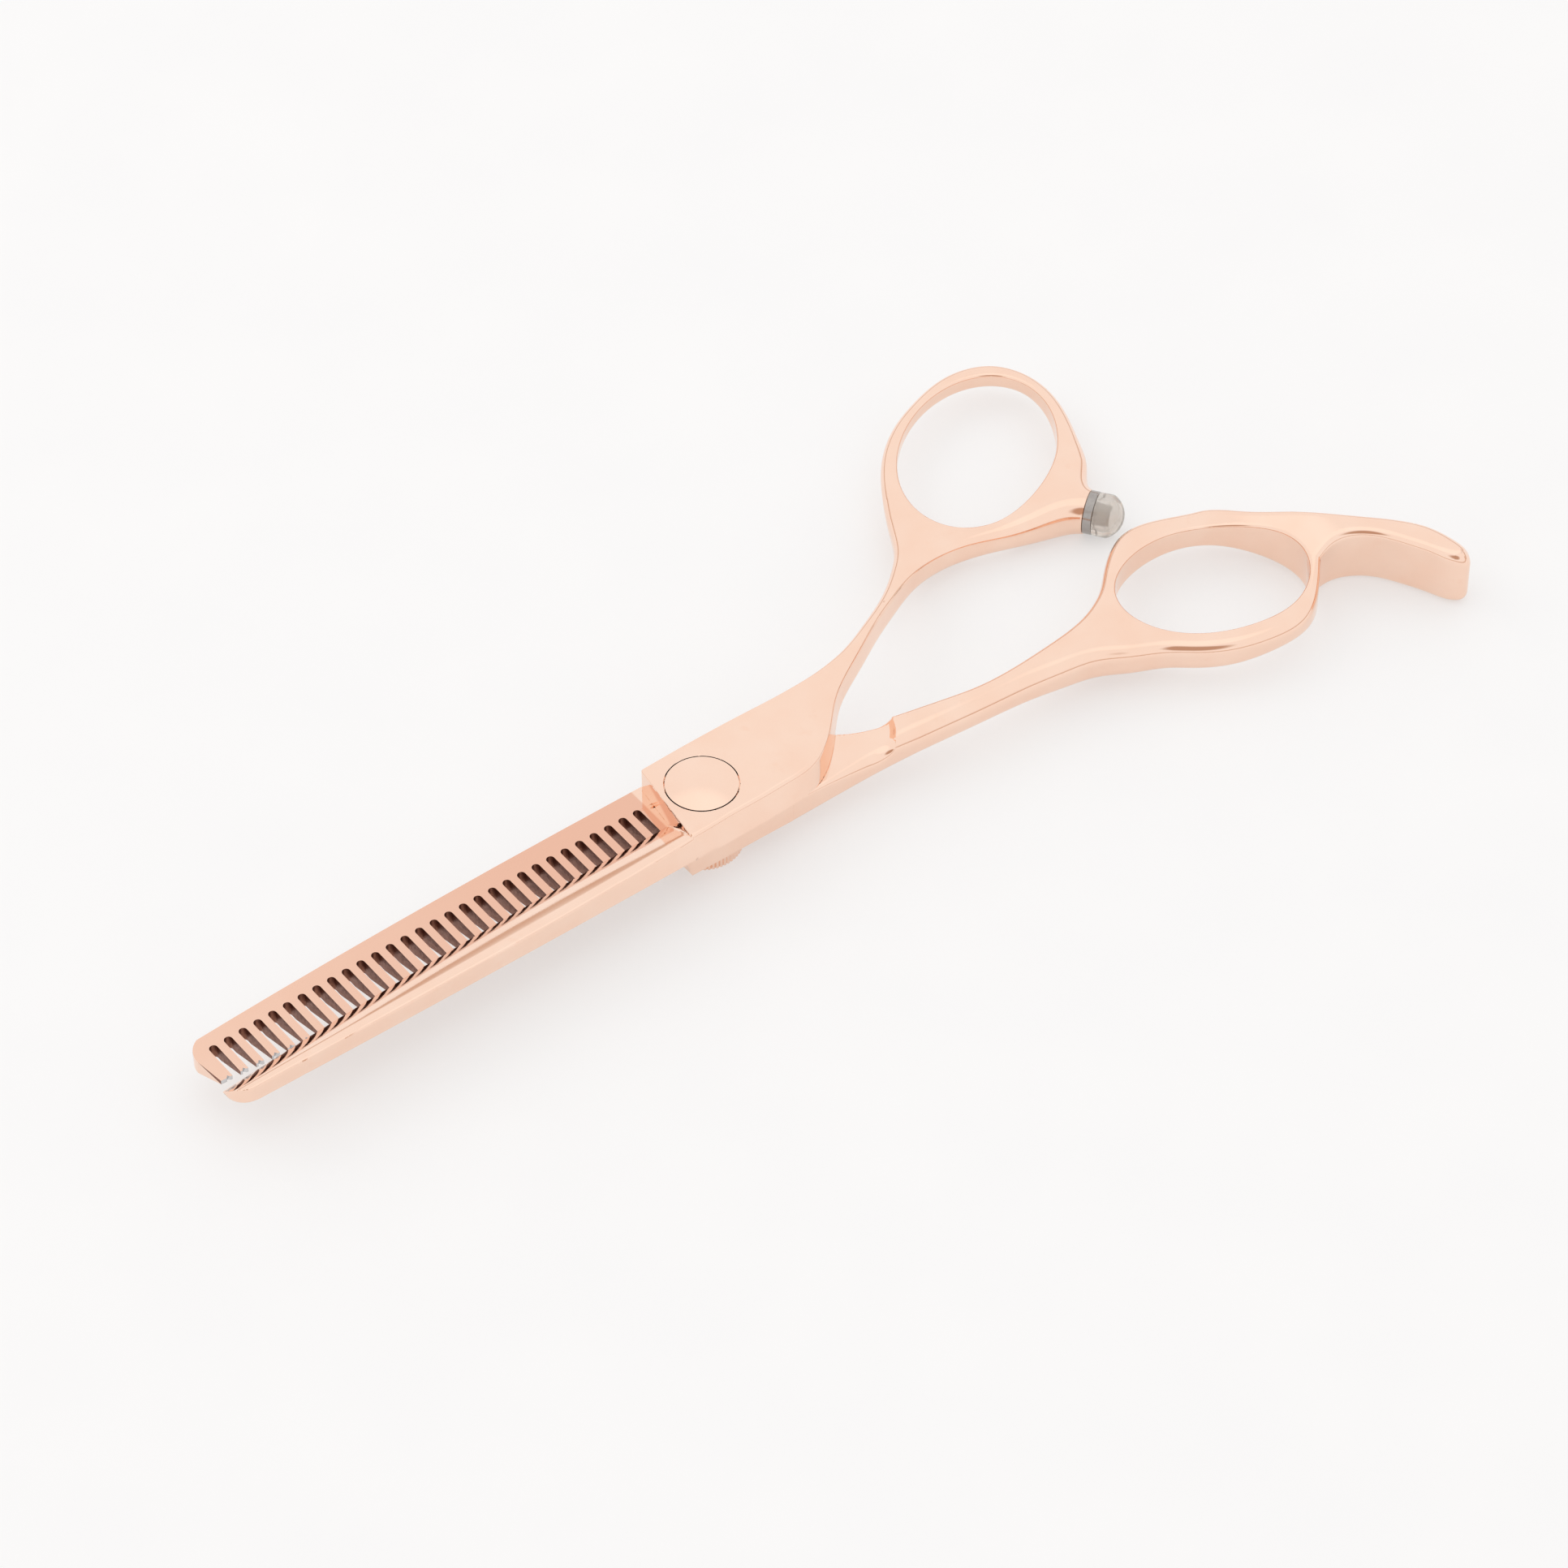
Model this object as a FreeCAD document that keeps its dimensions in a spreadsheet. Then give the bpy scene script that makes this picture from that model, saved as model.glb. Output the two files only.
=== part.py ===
"""Hairdresser's thinning shears, 5.5 inch class, as a parametric document of separate pieces.

Frame: millimetres, +Z up. The pivot axis is the Z axis and the underside of the tension dial is z = 0,
so the shears lie on the plane z = 0. The toothed blade points along -X, the handles lie along +X.
The pose is a little open. The finger half (toothed blade and hooked handle) is the lower one, the thumb
half (solid blade and round handle) the upper one.
"""
import FreeCAD, Part

import math
import os

from FreeCAD import Placement, Rotation, Vector

doc = FreeCAD.newDocument("thinning_shears")

# ---------------------------------------------------------------------------------------------
# Driving dimensions: alias, value in millimetres or degrees, meaning
# ---------------------------------------------------------------------------------------------
SIZES = [
    # pivot stack, from the table up
    ("dial_height", 2.7, "tension dial, bottom to top"),
    ("dial_radius", 4.5, "outside of the knurl"),
    ("knurl_depth", 0.16, "depth of a knurl groove"),
    ("knurl_count", 60, "knurl grooves round the dial"),
    ("notch_count", 24, "click notches in the dial's top"),
    ("notch_ring", 2.6, "radius of the ring of notches"),
    ("dial_gap", 0.1, "air between dial and finger plate"),
    ("plate_height", 2.95, "thickness of each half at the pivot"),
    ("blade_gap", 0.1, "air between the two halves, held by the ride washer"),
    ("stack_recess", 1.1, "depth of the finger plate's pocket for washer, spring and click plate"),
    ("stack_radius", 3.8, "radius of that pocket"),
    ("thrust_height", 0.25, "thickness of the thrust washer"),
    ("spring_height", 0.5, "overall height of the disc spring"),
    ("spring_wall", 0.25, "thickness of the disc spring"),
    ("click_height", 0.3, "thickness of the click plate"),
    ("click_bump", 0.12, "how far its bumps stand out"),
    ("ride_radius", 4.6, "outside of the ride washer"),
    ("ride_recess", 0.4, "depth of the ride washer's seat"),
    ("ride_clearance", 0.02, "air over the ride washer"),
    ("journal_radius", 2.0, "bearing part of the pivot screw"),
    ("bush_wall", 0.65, "wall of the bushing"),
    ("running_fit", 0.04, "radial clearance of turning fits"),
    ("slip_fit", 0.02, "radial clearance of parts that do not turn"),
    ("stem_radius", 1.5, "threaded stem of the pivot screw"),
    ("stem_flat", 1.25, "half distance over the stem's flats"),
    ("neck_radius", 2.6, "keyed neck of the pivot screw"),
    ("neck_flat", 2.1, "half distance over the neck's flats"),
    ("head_radius", 4.0, "pivot screw head"),
    ("head_dome", 0.5, "rise of the head's dome over its rim"),
    ("head_gap", 0.12, "radial gap round the head"),
    ("head_recess", 1.2, "depth of the head's counterbore"),
    ("head_washer_height", 0.15, "washer under the head"),
    ("retainer_radius", 2.1, "head of the retaining screw"),
    ("retainer_height", 0.9, "height of that head"),
    ("retainer_stem", 0.7, "radius of its thread"),
    ("retainer_reach", 1.5, "length of its thread"),
    # toothed blade
    ("blade_length", 63.7, "pivot to tip, toothed blade"),
    ("comb_spine", 5.9, "pivot axis to the spine at the root"),
    ("comb_spine_tip", 4.25, "pivot axis to the spine near the tip"),
    ("comb_height", 2.2, "thickness of the toothed blade at its spine"),
    ("tooth_reach", 3.0, "teeth below the pivot axis at the root"),
    ("tooth_reach_tip", 1.85, "the same at the tip"),
    ("slot_count", 30, "slots between the teeth"),
    ("slot_pitch", 1.893, "distance between slots"),
    ("slot_width", 0.96, "width of a slot"),
    ("slot_first", 6.45, "pivot axis to the first slot's centre line"),
    ("slot_ceiling", 2.55, "spine to the slots' rounded ends at the root"),
    ("slot_ceiling_tip", 1.6, "the same at the tip"),
    ("tooth_height", 0.9, "thickness of the teeth at their ends, at the root"),
    ("tooth_height_tip", 0.55, "the same at the tip"),
    ("tooth_notch", 0.3, "depth of the hair groove in a tooth's end"),
    # solid blade
    ("solid_length", 64.0, "pivot to tip, solid blade"),
    ("solid_height_tip", 2.2, "thickness of the solid blade at its tip"),
    ("solid_edge", 0.7, "cutting edge below the pivot axis at the root"),
    ("solid_edge_tip", 3.35, "the same at the tip"),
    ("solid_spine", 6.35, "spine below the pivot axis"),
    ("bevel_crown", 0.16, "how far the bevel swells out of a flat"),
    # plates
    ("plate_front", 5.1, "front of the thumb plate, ahead of the pivot axis"),
    ("plate_far", 5.75, "far edge of the thumb plate"),
    ("plate_near", 6.3, "near edge of the thumb plate"),
    ("under_step", 5.5, "front of the finger plate's thick part"),
    ("finger_near", 5.7, "near edge of the finger plate"),
    ("weld_thumb", 20.0, "where the thumb blade is welded to its handle"),
    ("weld_finger", 18.6, "where the finger blade is welded to its handle"),
    # thumb ring
    ("thumb_x", 58.5, "centre of the thumb hole along X"),
    ("thumb_y", 26.5, "centre of the thumb hole along Y"),
    ("thumb_long", 12.75, "half length of the thumb hole"),
    ("thumb_wide", 8.75, "half width of the thumb hole"),
    ("thumb_turn", 37.3, "direction of the hole's length, degrees"),
    ("thumb_band", 1.9, "width of the ring on the shank's side"),
    ("thumb_band_far", 2.8, "width of the ring on the far side"),
    ("thumb_ring_height", 4.2, "height of the thumb ring"),
    ("thumb_edge_round", 0.8, "rounding of the thumb handle's long edges"),
    # finger ring and rest
    ("finger_x", 65.9, "centre of the finger hole along X"),
    ("finger_y", -6.25, "centre of the finger hole along Y"),
    ("finger_long", 11.1, "half length of the finger hole"),
    ("finger_wide", 8.15, "half width of the finger hole"),
    ("finger_turn", -18.2, "direction of the hole's length, degrees"),
    ("finger_band", 2.6, "width of the ring on the near side"),
    ("finger_band_far", 3.2, "width of the ring on the far side"),
    ("finger_ring_height", 4.1, "height of the finger ring"),
    ("finger_ring_base", 1.5, "underside of the finger ring above the table"),
    ("rest_height", 7.4, "height of the finger rest's paddle"),
    ("shank_height", 3.7, "height of the finger handle's shank"),
    ("finger_edge_round", 1.0, "rounding of the finger handle's long edges"),
    ("hole_edge_round", 0.4, "rounding of the holes' edges"),
    ("notch_round", 1.2, "rounding between finger ring and rest"),
    # bumper
    ("bumper_radius", 2.5, "bumper"),
    ("bumper_length", 4.3, "bumper with its collar, along its axis"),
    ("collar_length", 1.1, "metal collar of the stud"),
    ("button_radius", 1.3, "button that holds the bumper"),
    ("button_length", 1.6, "its length"),
    ("stud_radius", 1.0, "pin of the stud in the handle"),
    ("stud_reach", 3.6, "length of that pin"),
    ("bumper_turn", -55.0, "direction the bumper points, degrees"),
]

sheet = doc.addObject("Spreadsheet::Sheet", "sizes")
for row, (alias, value, meaning) in enumerate(SIZES, start=1):
    sheet.set(f"A{row}", meaning)
    sheet.set(f"B{row}", str(value))
    sheet.setAlias(f"B{row}", alias)
doc.recompute()


def size(alias):
    """The value of one cell of the sheet."""
    return float(sheet.get(alias))


# Heights that follow from the stack
FINGER_BASE = size("dial_height") + size("dial_gap")
MATING = FINGER_BASE + size("plate_height")
THUMB_BASE = MATING + size("blade_gap")
THUMB_TOP = THUMB_BASE + size("plate_height")

BASE_CELLS = "(sizes.dial_height + sizes.dial_gap)"
MATING_CELLS = f"({BASE_CELLS} + sizes.plate_height)"
THUMB_CELLS = f"({MATING_CELLS} + sizes.blade_gap)"
TOP_CELLS = f"({THUMB_CELLS} + sizes.plate_height)"
OVERCUT = 1.0


# ---------------------------------------------------------------------------------------------
# Small helpers
# ---------------------------------------------------------------------------------------------
def bind(obj, **cells):
    """Bind properties of an object to expressions; a double underscore stands for a dot."""
    for name, expression in cells.items():
        obj.setExpression(name.replace("__", "."), expression)
    return obj


def cylinder(name, radius, height, base="0"):
    """A cylinder on the pivot axis, its radius, height and base given as expressions."""
    solid = doc.addObject("Part::Cylinder", name)
    return bind(solid, Radius=radius, Height=height, Placement__Base__z=base)


def block(name, length, width, height, base):
    """A box centred on the pivot axis in plan, its sizes and base given as expressions."""
    solid = doc.addObject("Part::Box", name)
    bind(solid, Length=length, Width=width, Height=height, Placement__Base__z=base)
    return bind(solid, Placement__Base__x=f"-({length}) / 2", Placement__Base__y=f"-({width}) / 2")


def cut(name, base, tool):
    result = doc.addObject("Part::Cut", name)
    result.Base, result.Tool = base, tool
    return result


def common(name, one, other):
    result = doc.addObject("Part::Common", name)
    result.Base, result.Tool = one, other
    return result


def fuse(name, *shapes):
    result = doc.addObject("Part::MultiFuse", name)
    result.Shapes = list(shapes)
    return result


def new_body(name):
    return doc.addObject("PartDesign::Body", name)


def sketch(body, name, role, curves, lift=0.0):
    """A sketch on one of the body's own origin planes, moved along the plane's normal by lift."""
    made = body.newObject("Sketcher::SketchObject", name)
    plane = next(f for f in body.Origin.OriginFeatures if f.Role == role)
    made.AttachmentSupport = (plane, [""])
    made.MapMode = "FlatFace"
    made.AttachmentOffset = Placement(Vector(0, 0, lift), Rotation())
    made.addGeometry(curves, False)
    return made


def polygon(points):
    """Closed chain of straight lines through 2-D points."""
    ring = [Vector(x, y, 0) for x, y in points]
    return [Part.LineSegment(a, b) for a, b in zip(ring, ring[1:] + ring[:1])]


def line(a, b):
    return Part.LineSegment(Vector(*a, 0), Vector(*b, 0))


def curve(points):
    """Smooth open curve through 2-D points."""
    made = Part.BSplineCurve()
    made.interpolate([Vector(x, y, 0) for x, y in points])
    return made


def turned(degrees, x, y):
    c, s = math.cos(math.radians(degrees)), math.sin(math.radians(degrees))
    return x * c - y * s, x * s + y * c


def blend(a, b, share):
    return a + (b - a) * share


def pad(body, name, profile, cells):
    feature = body.newObject("PartDesign::Pad", name)
    feature.Profile = profile
    return bind(feature, Length=cells)


def pocket(body, name, profile, depth, both_ways=False, reverse=False):
    """Cut along the sketch's normal and check that the body lost volume."""
    before = body.Tip.Shape.Volume
    feature = body.newObject("PartDesign::Pocket", name)
    feature.Profile = profile
    feature.Length = depth
    feature.Midplane = both_ways
    feature.Reversed = reverse
    doc.recompute()
    if feature.Shape.Volume > before - 1e-6:
        raise RuntimeError(f"{name} cut nothing")
    return feature


ROUNDING_SHARES = (1.0, 0.9, 0.8, 0.7, 0.55, 0.4)


def round_edges(body, name, radius_cells, chosen):
    """Fillet the edges of the body's tip for which chosen(edge) is true, as widely as its form allows."""
    base = body.Tip
    names = [f"Edge{i}" for i, edge in enumerate(base.Shape.Edges, start=1) if chosen(edge)]
    feature = body.newObject("PartDesign::Fillet", name)
    feature.Base = (base, names)
    for share in ROUNDING_SHARES:
        bind(feature, Radius=f"{share} * {radius_cells}")
        doc.recompute()
        if "Invalid" not in feature.State and feature.Shape.isValid():
            print(name, "rounded at", share, "of its radius")
            return
    raise RuntimeError(f"{name} has no radius that its form takes")


# ---------------------------------------------------------------------------------------------
# Pivot stack
# ---------------------------------------------------------------------------------------------
def double_flat(name, radius, flat, height, base):
    """Round bar with two flats; flat is half the distance over them."""
    bar = cylinder(f"{name}_bar", radius, height, base)
    flats = block(f"{name}_flats", f"2 * ({radius})", f"2 * ({flat})", height, base)
    return common(name, bar, flats)


def make_pivot_screw():
    """Domed head, keyed neck, journal and flatted stem, drilled for the retaining screw."""
    head_base = f"{TOP_CELLS} - sizes.head_recess + sizes.head_washer_height"
    head_height = "sizes.head_recess - sizes.head_washer_height + sizes.head_dome"
    head_bar = cylinder("head_bar", "sizes.head_radius", head_height, head_base)
    ball = doc.addObject("Part::Sphere", "head_ball")
    ball_radius = ("(sizes.head_radius * sizes.head_radius + sizes.head_dome * sizes.head_dome)"
                   " / (2 * sizes.head_dome)")
    bind(ball, Radius=ball_radius,
         Placement__Base__z=f"{TOP_CELLS} + sizes.head_dome - {ball_radius}")
    head = common("screw_head", head_bar, ball)
    neck = double_flat("screw_neck", "sizes.neck_radius", "sizes.neck_flat",
                       f"{head_base} - {THUMB_CELLS}", THUMB_CELLS)
    journal_base = f"{BASE_CELLS} + sizes.stack_recess"
    journal = cylinder("screw_journal", "sizes.journal_radius",
                       f"{THUMB_CELLS} - ({journal_base})", journal_base)
    stem = double_flat("screw_stem", "sizes.stem_radius", "sizes.stem_flat",
                       f"{journal_base} - sizes.retainer_height", "sizes.retainer_height")
    whole = fuse("screw_whole", head, neck, journal, stem)
    drill = cylinder("screw_drill", "sizes.retainer_stem + sizes.slip_fit",
                     "sizes.retainer_reach + 0.1", "sizes.retainer_height")
    return cut("pivot_screw", whole, drill)


def ring(name, outer, inner, height, base):
    """A flat ring on the pivot axis."""
    return cut(name, cylinder(f"{name}_disc", outer, height, base),
               cylinder(f"{name}_hole", inner, height, base))


def make_rings():
    """Washers and bushing of the pivot."""
    seat = f"{BASE_CELLS} + sizes.stack_recess"
    ring("head_washer", "sizes.head_radius - 0.1", "sizes.neck_radius + sizes.slip_fit",
         "sizes.head_washer_height", f"{TOP_CELLS} - sizes.head_recess")
    ring("ride_washer", "sizes.ride_radius", "sizes.journal_radius + sizes.running_fit",
         "sizes.ride_recess + sizes.blade_gap - sizes.ride_clearance", f"{MATING_CELLS} - sizes.ride_recess")
    ring("pivot_bushing", "sizes.journal_radius + sizes.running_fit + sizes.bush_wall",
         "sizes.journal_radius + sizes.running_fit",
         "sizes.plate_height - sizes.stack_recess - sizes.ride_recess", seat)
    ring("thrust_washer", "sizes.stack_radius - 0.2", "sizes.stem_radius + sizes.running_fit",
         "sizes.thrust_height", f"{seat} - sizes.thrust_height")


def make_disc_spring():
    """Coned spring washer between thrust washer and click plate."""
    top = FINGER_BASE + size("stack_recess") - size("thrust_height")
    foot = top - size("spring_height")
    inner = size("stem_radius") + size("slip_fit")
    outer = size("stack_radius") - 0.4
    wall = size("spring_wall")
    body = new_body("disc_spring")
    profile = sketch(body, "spring_section", "XZ_Plane",
                     polygon([(inner, top - wall), (outer, foot), (outer, foot + wall), (inner, top)]))
    turn = body.newObject("PartDesign::Revolution", "spring_turn")
    turn.Profile = profile
    turn.ReferenceAxis = (profile, ["V_Axis"])
    turn.Angle = 360


def make_click_plate():
    """Washer keyed to the stem, with two small bumps that click over the dial's notches."""
    base = f"{BASE_CELLS} + sizes.stack_recess - sizes.thrust_height - sizes.spring_height - sizes.click_height"
    disc = cylinder("click_disc", "sizes.stack_radius - 0.3", "sizes.click_height", base)
    bore = double_flat("click_bore", "sizes.stem_radius + sizes.slip_fit",
                       "sizes.stem_flat + sizes.slip_fit", "sizes.click_height", base)
    plate = cut("click_washer", disc, bore)
    bumps = []
    for side in (-1, 1):
        bump = doc.addObject("Part::Cone", f"click_bump_{side + 1}")
        bind(bump, Radius1="0.15", Radius2="0.4", Height="sizes.click_bump + 0.05",
             Placement__Base__x=f"{side} * sizes.notch_ring", Placement__Base__z=f"{base} - sizes.click_bump")
        bumps.append(bump)
    return fuse("click_plate", plate, *bumps)


def make_tension_dial():
    """Knurled nut on the stem, with click notches on top and a seat for the retaining screw."""
    body = new_body("tension_dial")
    outline = sketch(body, "dial_outline", "XY_Plane",
                     [Part.Circle(Vector(), Vector(0, 0, 1), size("dial_radius")),
                      Part.Circle(Vector(), Vector(0, 0, 1), size("stem_radius") + size("running_fit"))])
    pad(body, "dial_pad", outline, "sizes.dial_height")
    doc.recompute()
    seat = sketch(body, "retainer_seat", "XY_Plane",
                  [Part.Circle(Vector(), Vector(0, 0, 1), size("retainer_radius") + 0.15)])
    pocket(body, "retainer_pocket", seat, size("retainer_height") + 0.05, reverse=True)

    pitch = 2 * math.pi * size("dial_radius") / size("knurl_count")
    deep, out = size("dial_radius") - size("knurl_depth"), size("dial_radius") + 0.1
    groove = sketch(body, "knurl_groove", "XY_Plane",
                    polygon([(deep, 0), (out, -pitch * 0.5), (out, pitch * 0.5)]))
    pocket(body, "knurl_cut", groove, size("dial_height"), reverse=True)
    polar(body, "knurl", "knurl_cut", int(size("knurl_count")))

    notch = sketch(body, "click_notch", "XY_Plane",
                   [Part.Circle(Vector(size("notch_ring"), 0, 0), Vector(0, 0, 1), 0.24)], size("dial_height"))
    pocket(body, "notch_cut", notch, 0.15)
    polar(body, "notches", "notch_cut", int(size("notch_count")))


def polar(body, name, feature, count):
    """Repeat a feature of the body round the pivot axis."""
    pattern = body.newObject("PartDesign::PolarPattern", name)
    pattern.Originals = [doc.getObject(feature)]
    axis = next(f for f in body.Origin.OriginFeatures if f.Role == "Z_Axis")
    pattern.Axis = (axis, [""])
    pattern.Angle = 360
    pattern.Occurrences = count
    body.Tip = pattern
    doc.recompute()


def make_retaining_screw():
    """Flush screw with two spanner holes that keeps the dial on the stem."""
    head = cylinder("retainer_head", "sizes.retainer_radius", "sizes.retainer_height")
    stem = cylinder("retainer_thread", "sizes.retainer_stem", "sizes.retainer_reach", "sizes.retainer_height")
    solid = fuse("retainer_solid", head, stem)
    for side in (-1, 1):
        hole = cylinder(f"spanner_hole_{side + 1}", "0.35", "0.5")
        bind(hole, Placement__Base__x=f"{side} * 0.6 * sizes.retainer_radius")
        solid = cut("retaining_screw" if side > 0 else "retainer_one_hole", solid, hole)


# ---------------------------------------------------------------------------------------------
# Blades
# ---------------------------------------------------------------------------------------------
def spine_at(x):
    """Far edge of the toothed blade at x: a gentle bow from the root to the tip."""
    share = max(0.0, min(1.0, -x / size("blade_length")))
    return blend(size("comb_spine"), size("comb_spine_tip"), share ** 2.4)


def tooth_line_at(x):
    """Ends of the teeth at x; the line bows a little away from the pivot axis at mid length."""
    share = max(0.0, min(1.0, -x / size("blade_length")))
    bow = 0.75 * math.sin(math.pi * share)
    return -blend(size("tooth_reach"), size("tooth_reach_tip"), share) - bow


def slot_centres():
    return [-size("slot_first") - size("slot_pitch") * i for i in range(int(size("slot_count")))]


def slot_curves(x):
    """One slot, open below the teeth, with a round upper end."""
    half = size("slot_width") / 2
    share = -x / size("blade_length")
    top = spine_at(x) - blend(size("slot_ceiling"), size("slot_ceiling_tip"), share) - half
    low = tooth_line_at(x) - OVERCUT
    arch = Part.Arc(Vector(x + half, top, 0), Vector(x, top + half, 0), Vector(x - half, top, 0))
    return [line((x - half, low), (x + half, low)), line((x + half, low), (x + half, top)), arch,
            line((x - half, top), (x - half, low))]


def under_section(x):
    """Section of what is ground away under the toothed blade at x, leaving thin teeth and a full spine."""
    share = min(1.0, -x / size("blade_length"))
    thin = blend(size("tooth_height"), size("tooth_height_tip"), share)
    spine = MATING - blend(size("comb_height"), 0.8 * size("comb_height"), share)
    low, knee = tooth_line_at(x), tooth_line_at(x) + 0.6 * (spine_at(x) - tooth_line_at(x))
    floor = FINGER_BASE - OVERCUT
    return polygon([(low - 3, floor), (spine_at(x) + 3, floor), (spine_at(x) + 3, spine), (knee, spine),
                    (low, MATING - thin), (low - 3, MATING - thin)])


def make_finger_blade():
    """Toothed blade and its pivot plate, one flat forging with a thick plate and a thin blade."""
    body = new_body("finger_blade")
    tip = -size("blade_length")
    root = -size("under_step")
    weld = size("weld_finger")
    corner = 1.6
    spine = [(x, spine_at(x)) for x in (tip + corner, 0.75 * tip, 0.5 * tip, 0.25 * tip, root)]
    teeth = [(x, tooth_line_at(x)) for x in (tip + 0.5, 0.75 * tip, 0.5 * tip, 0.25 * tip, root)]
    nose = Part.Arc(Vector(tip + corner, spine[0][1], 0), Vector(tip + 0.35, spine[0][1] - 1.15, 0),
                    Vector(tip, spine[0][1] - 2.6, 0))
    near, far = -size("finger_near"), size("comb_spine")
    weld_near, weld_far = near - 0.35, -0.9
    curves = [curve(spine[::-1]), nose, line((tip, spine[0][1] - 2.6), teeth[0]), curve(teeth),
              line(teeth[-1], (root, near)),
              line((root, near), (6.0, near)), curve([(6.0, near), (12.5, near - 0.1), (weld, weld_near)]),
              line((weld, weld_near), (weld, weld_far)),
              curve([(weld, weld_far), (15.0, 1.9), (11.0, 4.9), (6.0, far)]), line((6.0, far), spine[-1])]
    outline = sketch(body, "finger_blade_outline", "XY_Plane", curves, FINGER_BASE)
    pad(body, "finger_blade_pad", outline, "sizes.plate_height")
    doc.recompute()

    before = body.Tip.Shape.Volume
    under = body.newObject("PartDesign::SubtractiveLoft", "under_bevel")
    under.Profile = sketch(body, "under_root", "YZ_Plane", under_section(root), root)
    under.Sections = [sketch(body, "under_tip", "YZ_Plane", under_section(tip - 1), tip - 1)]
    doc.recompute()
    if under.Shape.Volume > before - 1:
        raise RuntimeError("the bevel under the toothed blade cut nothing")
    slots = [part for x in slot_centres() for part in slot_curves(x)]
    comb = sketch(body, "slots", "XY_Plane", slots, MATING)
    pocket(body, "slot_cut", comb, size("plate_height") + OVERCUT)
    grooves = []
    for x in slot_centres():
        middle = x - size("slot_pitch") / 2
        low = tooth_line_at(middle)
        half = (size("slot_pitch") - size("slot_width")) / 2 - 0.08
        grooves += polygon([(middle - half, low - 0.2), (middle + half, low - 0.2),
                            (middle, low + size("tooth_notch"))])
    groove = sketch(body, "tooth_grooves", "XY_Plane", grooves, MATING)
    pocket(body, "tooth_groove_cut", groove, size("plate_height") + OVERCUT)
    bore(body, "stack_pocket", size("stack_radius"), FINGER_BASE, size("stack_recess"), up=True)
    bore(body, "ride_seat", size("ride_radius") + size("running_fit"), MATING, size("ride_recess"))
    bore(body, "bush_bore", size("journal_radius") + size("running_fit") + size("bush_wall"), MATING,
         size("plate_height"))


def bore(body, name, radius, level, depth, up=False):
    """A round pocket on the pivot axis, from level down, or up."""
    profile = sketch(body, f"{name}_circle", "XY_Plane", [Part.Circle(Vector(), Vector(0, 0, 1), radius)], level)
    pocket(body, name, profile, depth, reverse=up)


def solid_section(x):
    """Cross-section of the solid blade at x: flat inside, thick spine, swelling bevel, fine edge."""
    share = max(0.0, -x / size("solid_length"))
    edge = -blend(size("solid_edge"), size("solid_edge_tip"), share ** 2.1)
    spine = -size("solid_spine") - 0.2 * math.sin(math.pi * share)
    top = THUMB_BASE + blend(size("plate_height"), size("solid_height_tip"), share)
    land = THUMB_BASE + 0.08
    ridge = spine + 0.35
    mid = Vector((ridge + edge) / 2 + size("bevel_crown"), (top + land) / 2 + size("bevel_crown"), 0)
    bevel = Part.Arc(Vector(ridge, top, 0), mid, Vector(edge, land, 0))
    return [line((spine, THUMB_BASE), (spine + 0.08, top - 0.35)), line((spine + 0.08, top - 0.35), (ridge, top)),
            bevel, line((edge, land), (edge, THUMB_BASE)), line((edge, THUMB_BASE), (spine, THUMB_BASE))]


def thumb_plate_outline():
    """Outline of the thumb plate at the mating plane, from front near corner round to the far one."""
    front, near, far, weld = -size("plate_front"), -size("plate_near"), size("plate_far"), size("weld_thumb")
    rear = [(7.5, near + 0.15), (11.7, near + 0.9), (13.9, near + 2.2), (16.0, near + 4.0), (weld, near + 8.0)]
    back = [(weld, far + 0.45), (16.0, far), (9.0, far + 0.05), (front + 1.5, far - 0.2)]
    return [line((front, near), rear[0]), curve(rear), line(rear[-1], back[0]), curve(back),
            line(back[-1], (front + 1.0, far - 0.5)), line((front + 1.0, far - 0.5), (front, near))]


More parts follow.
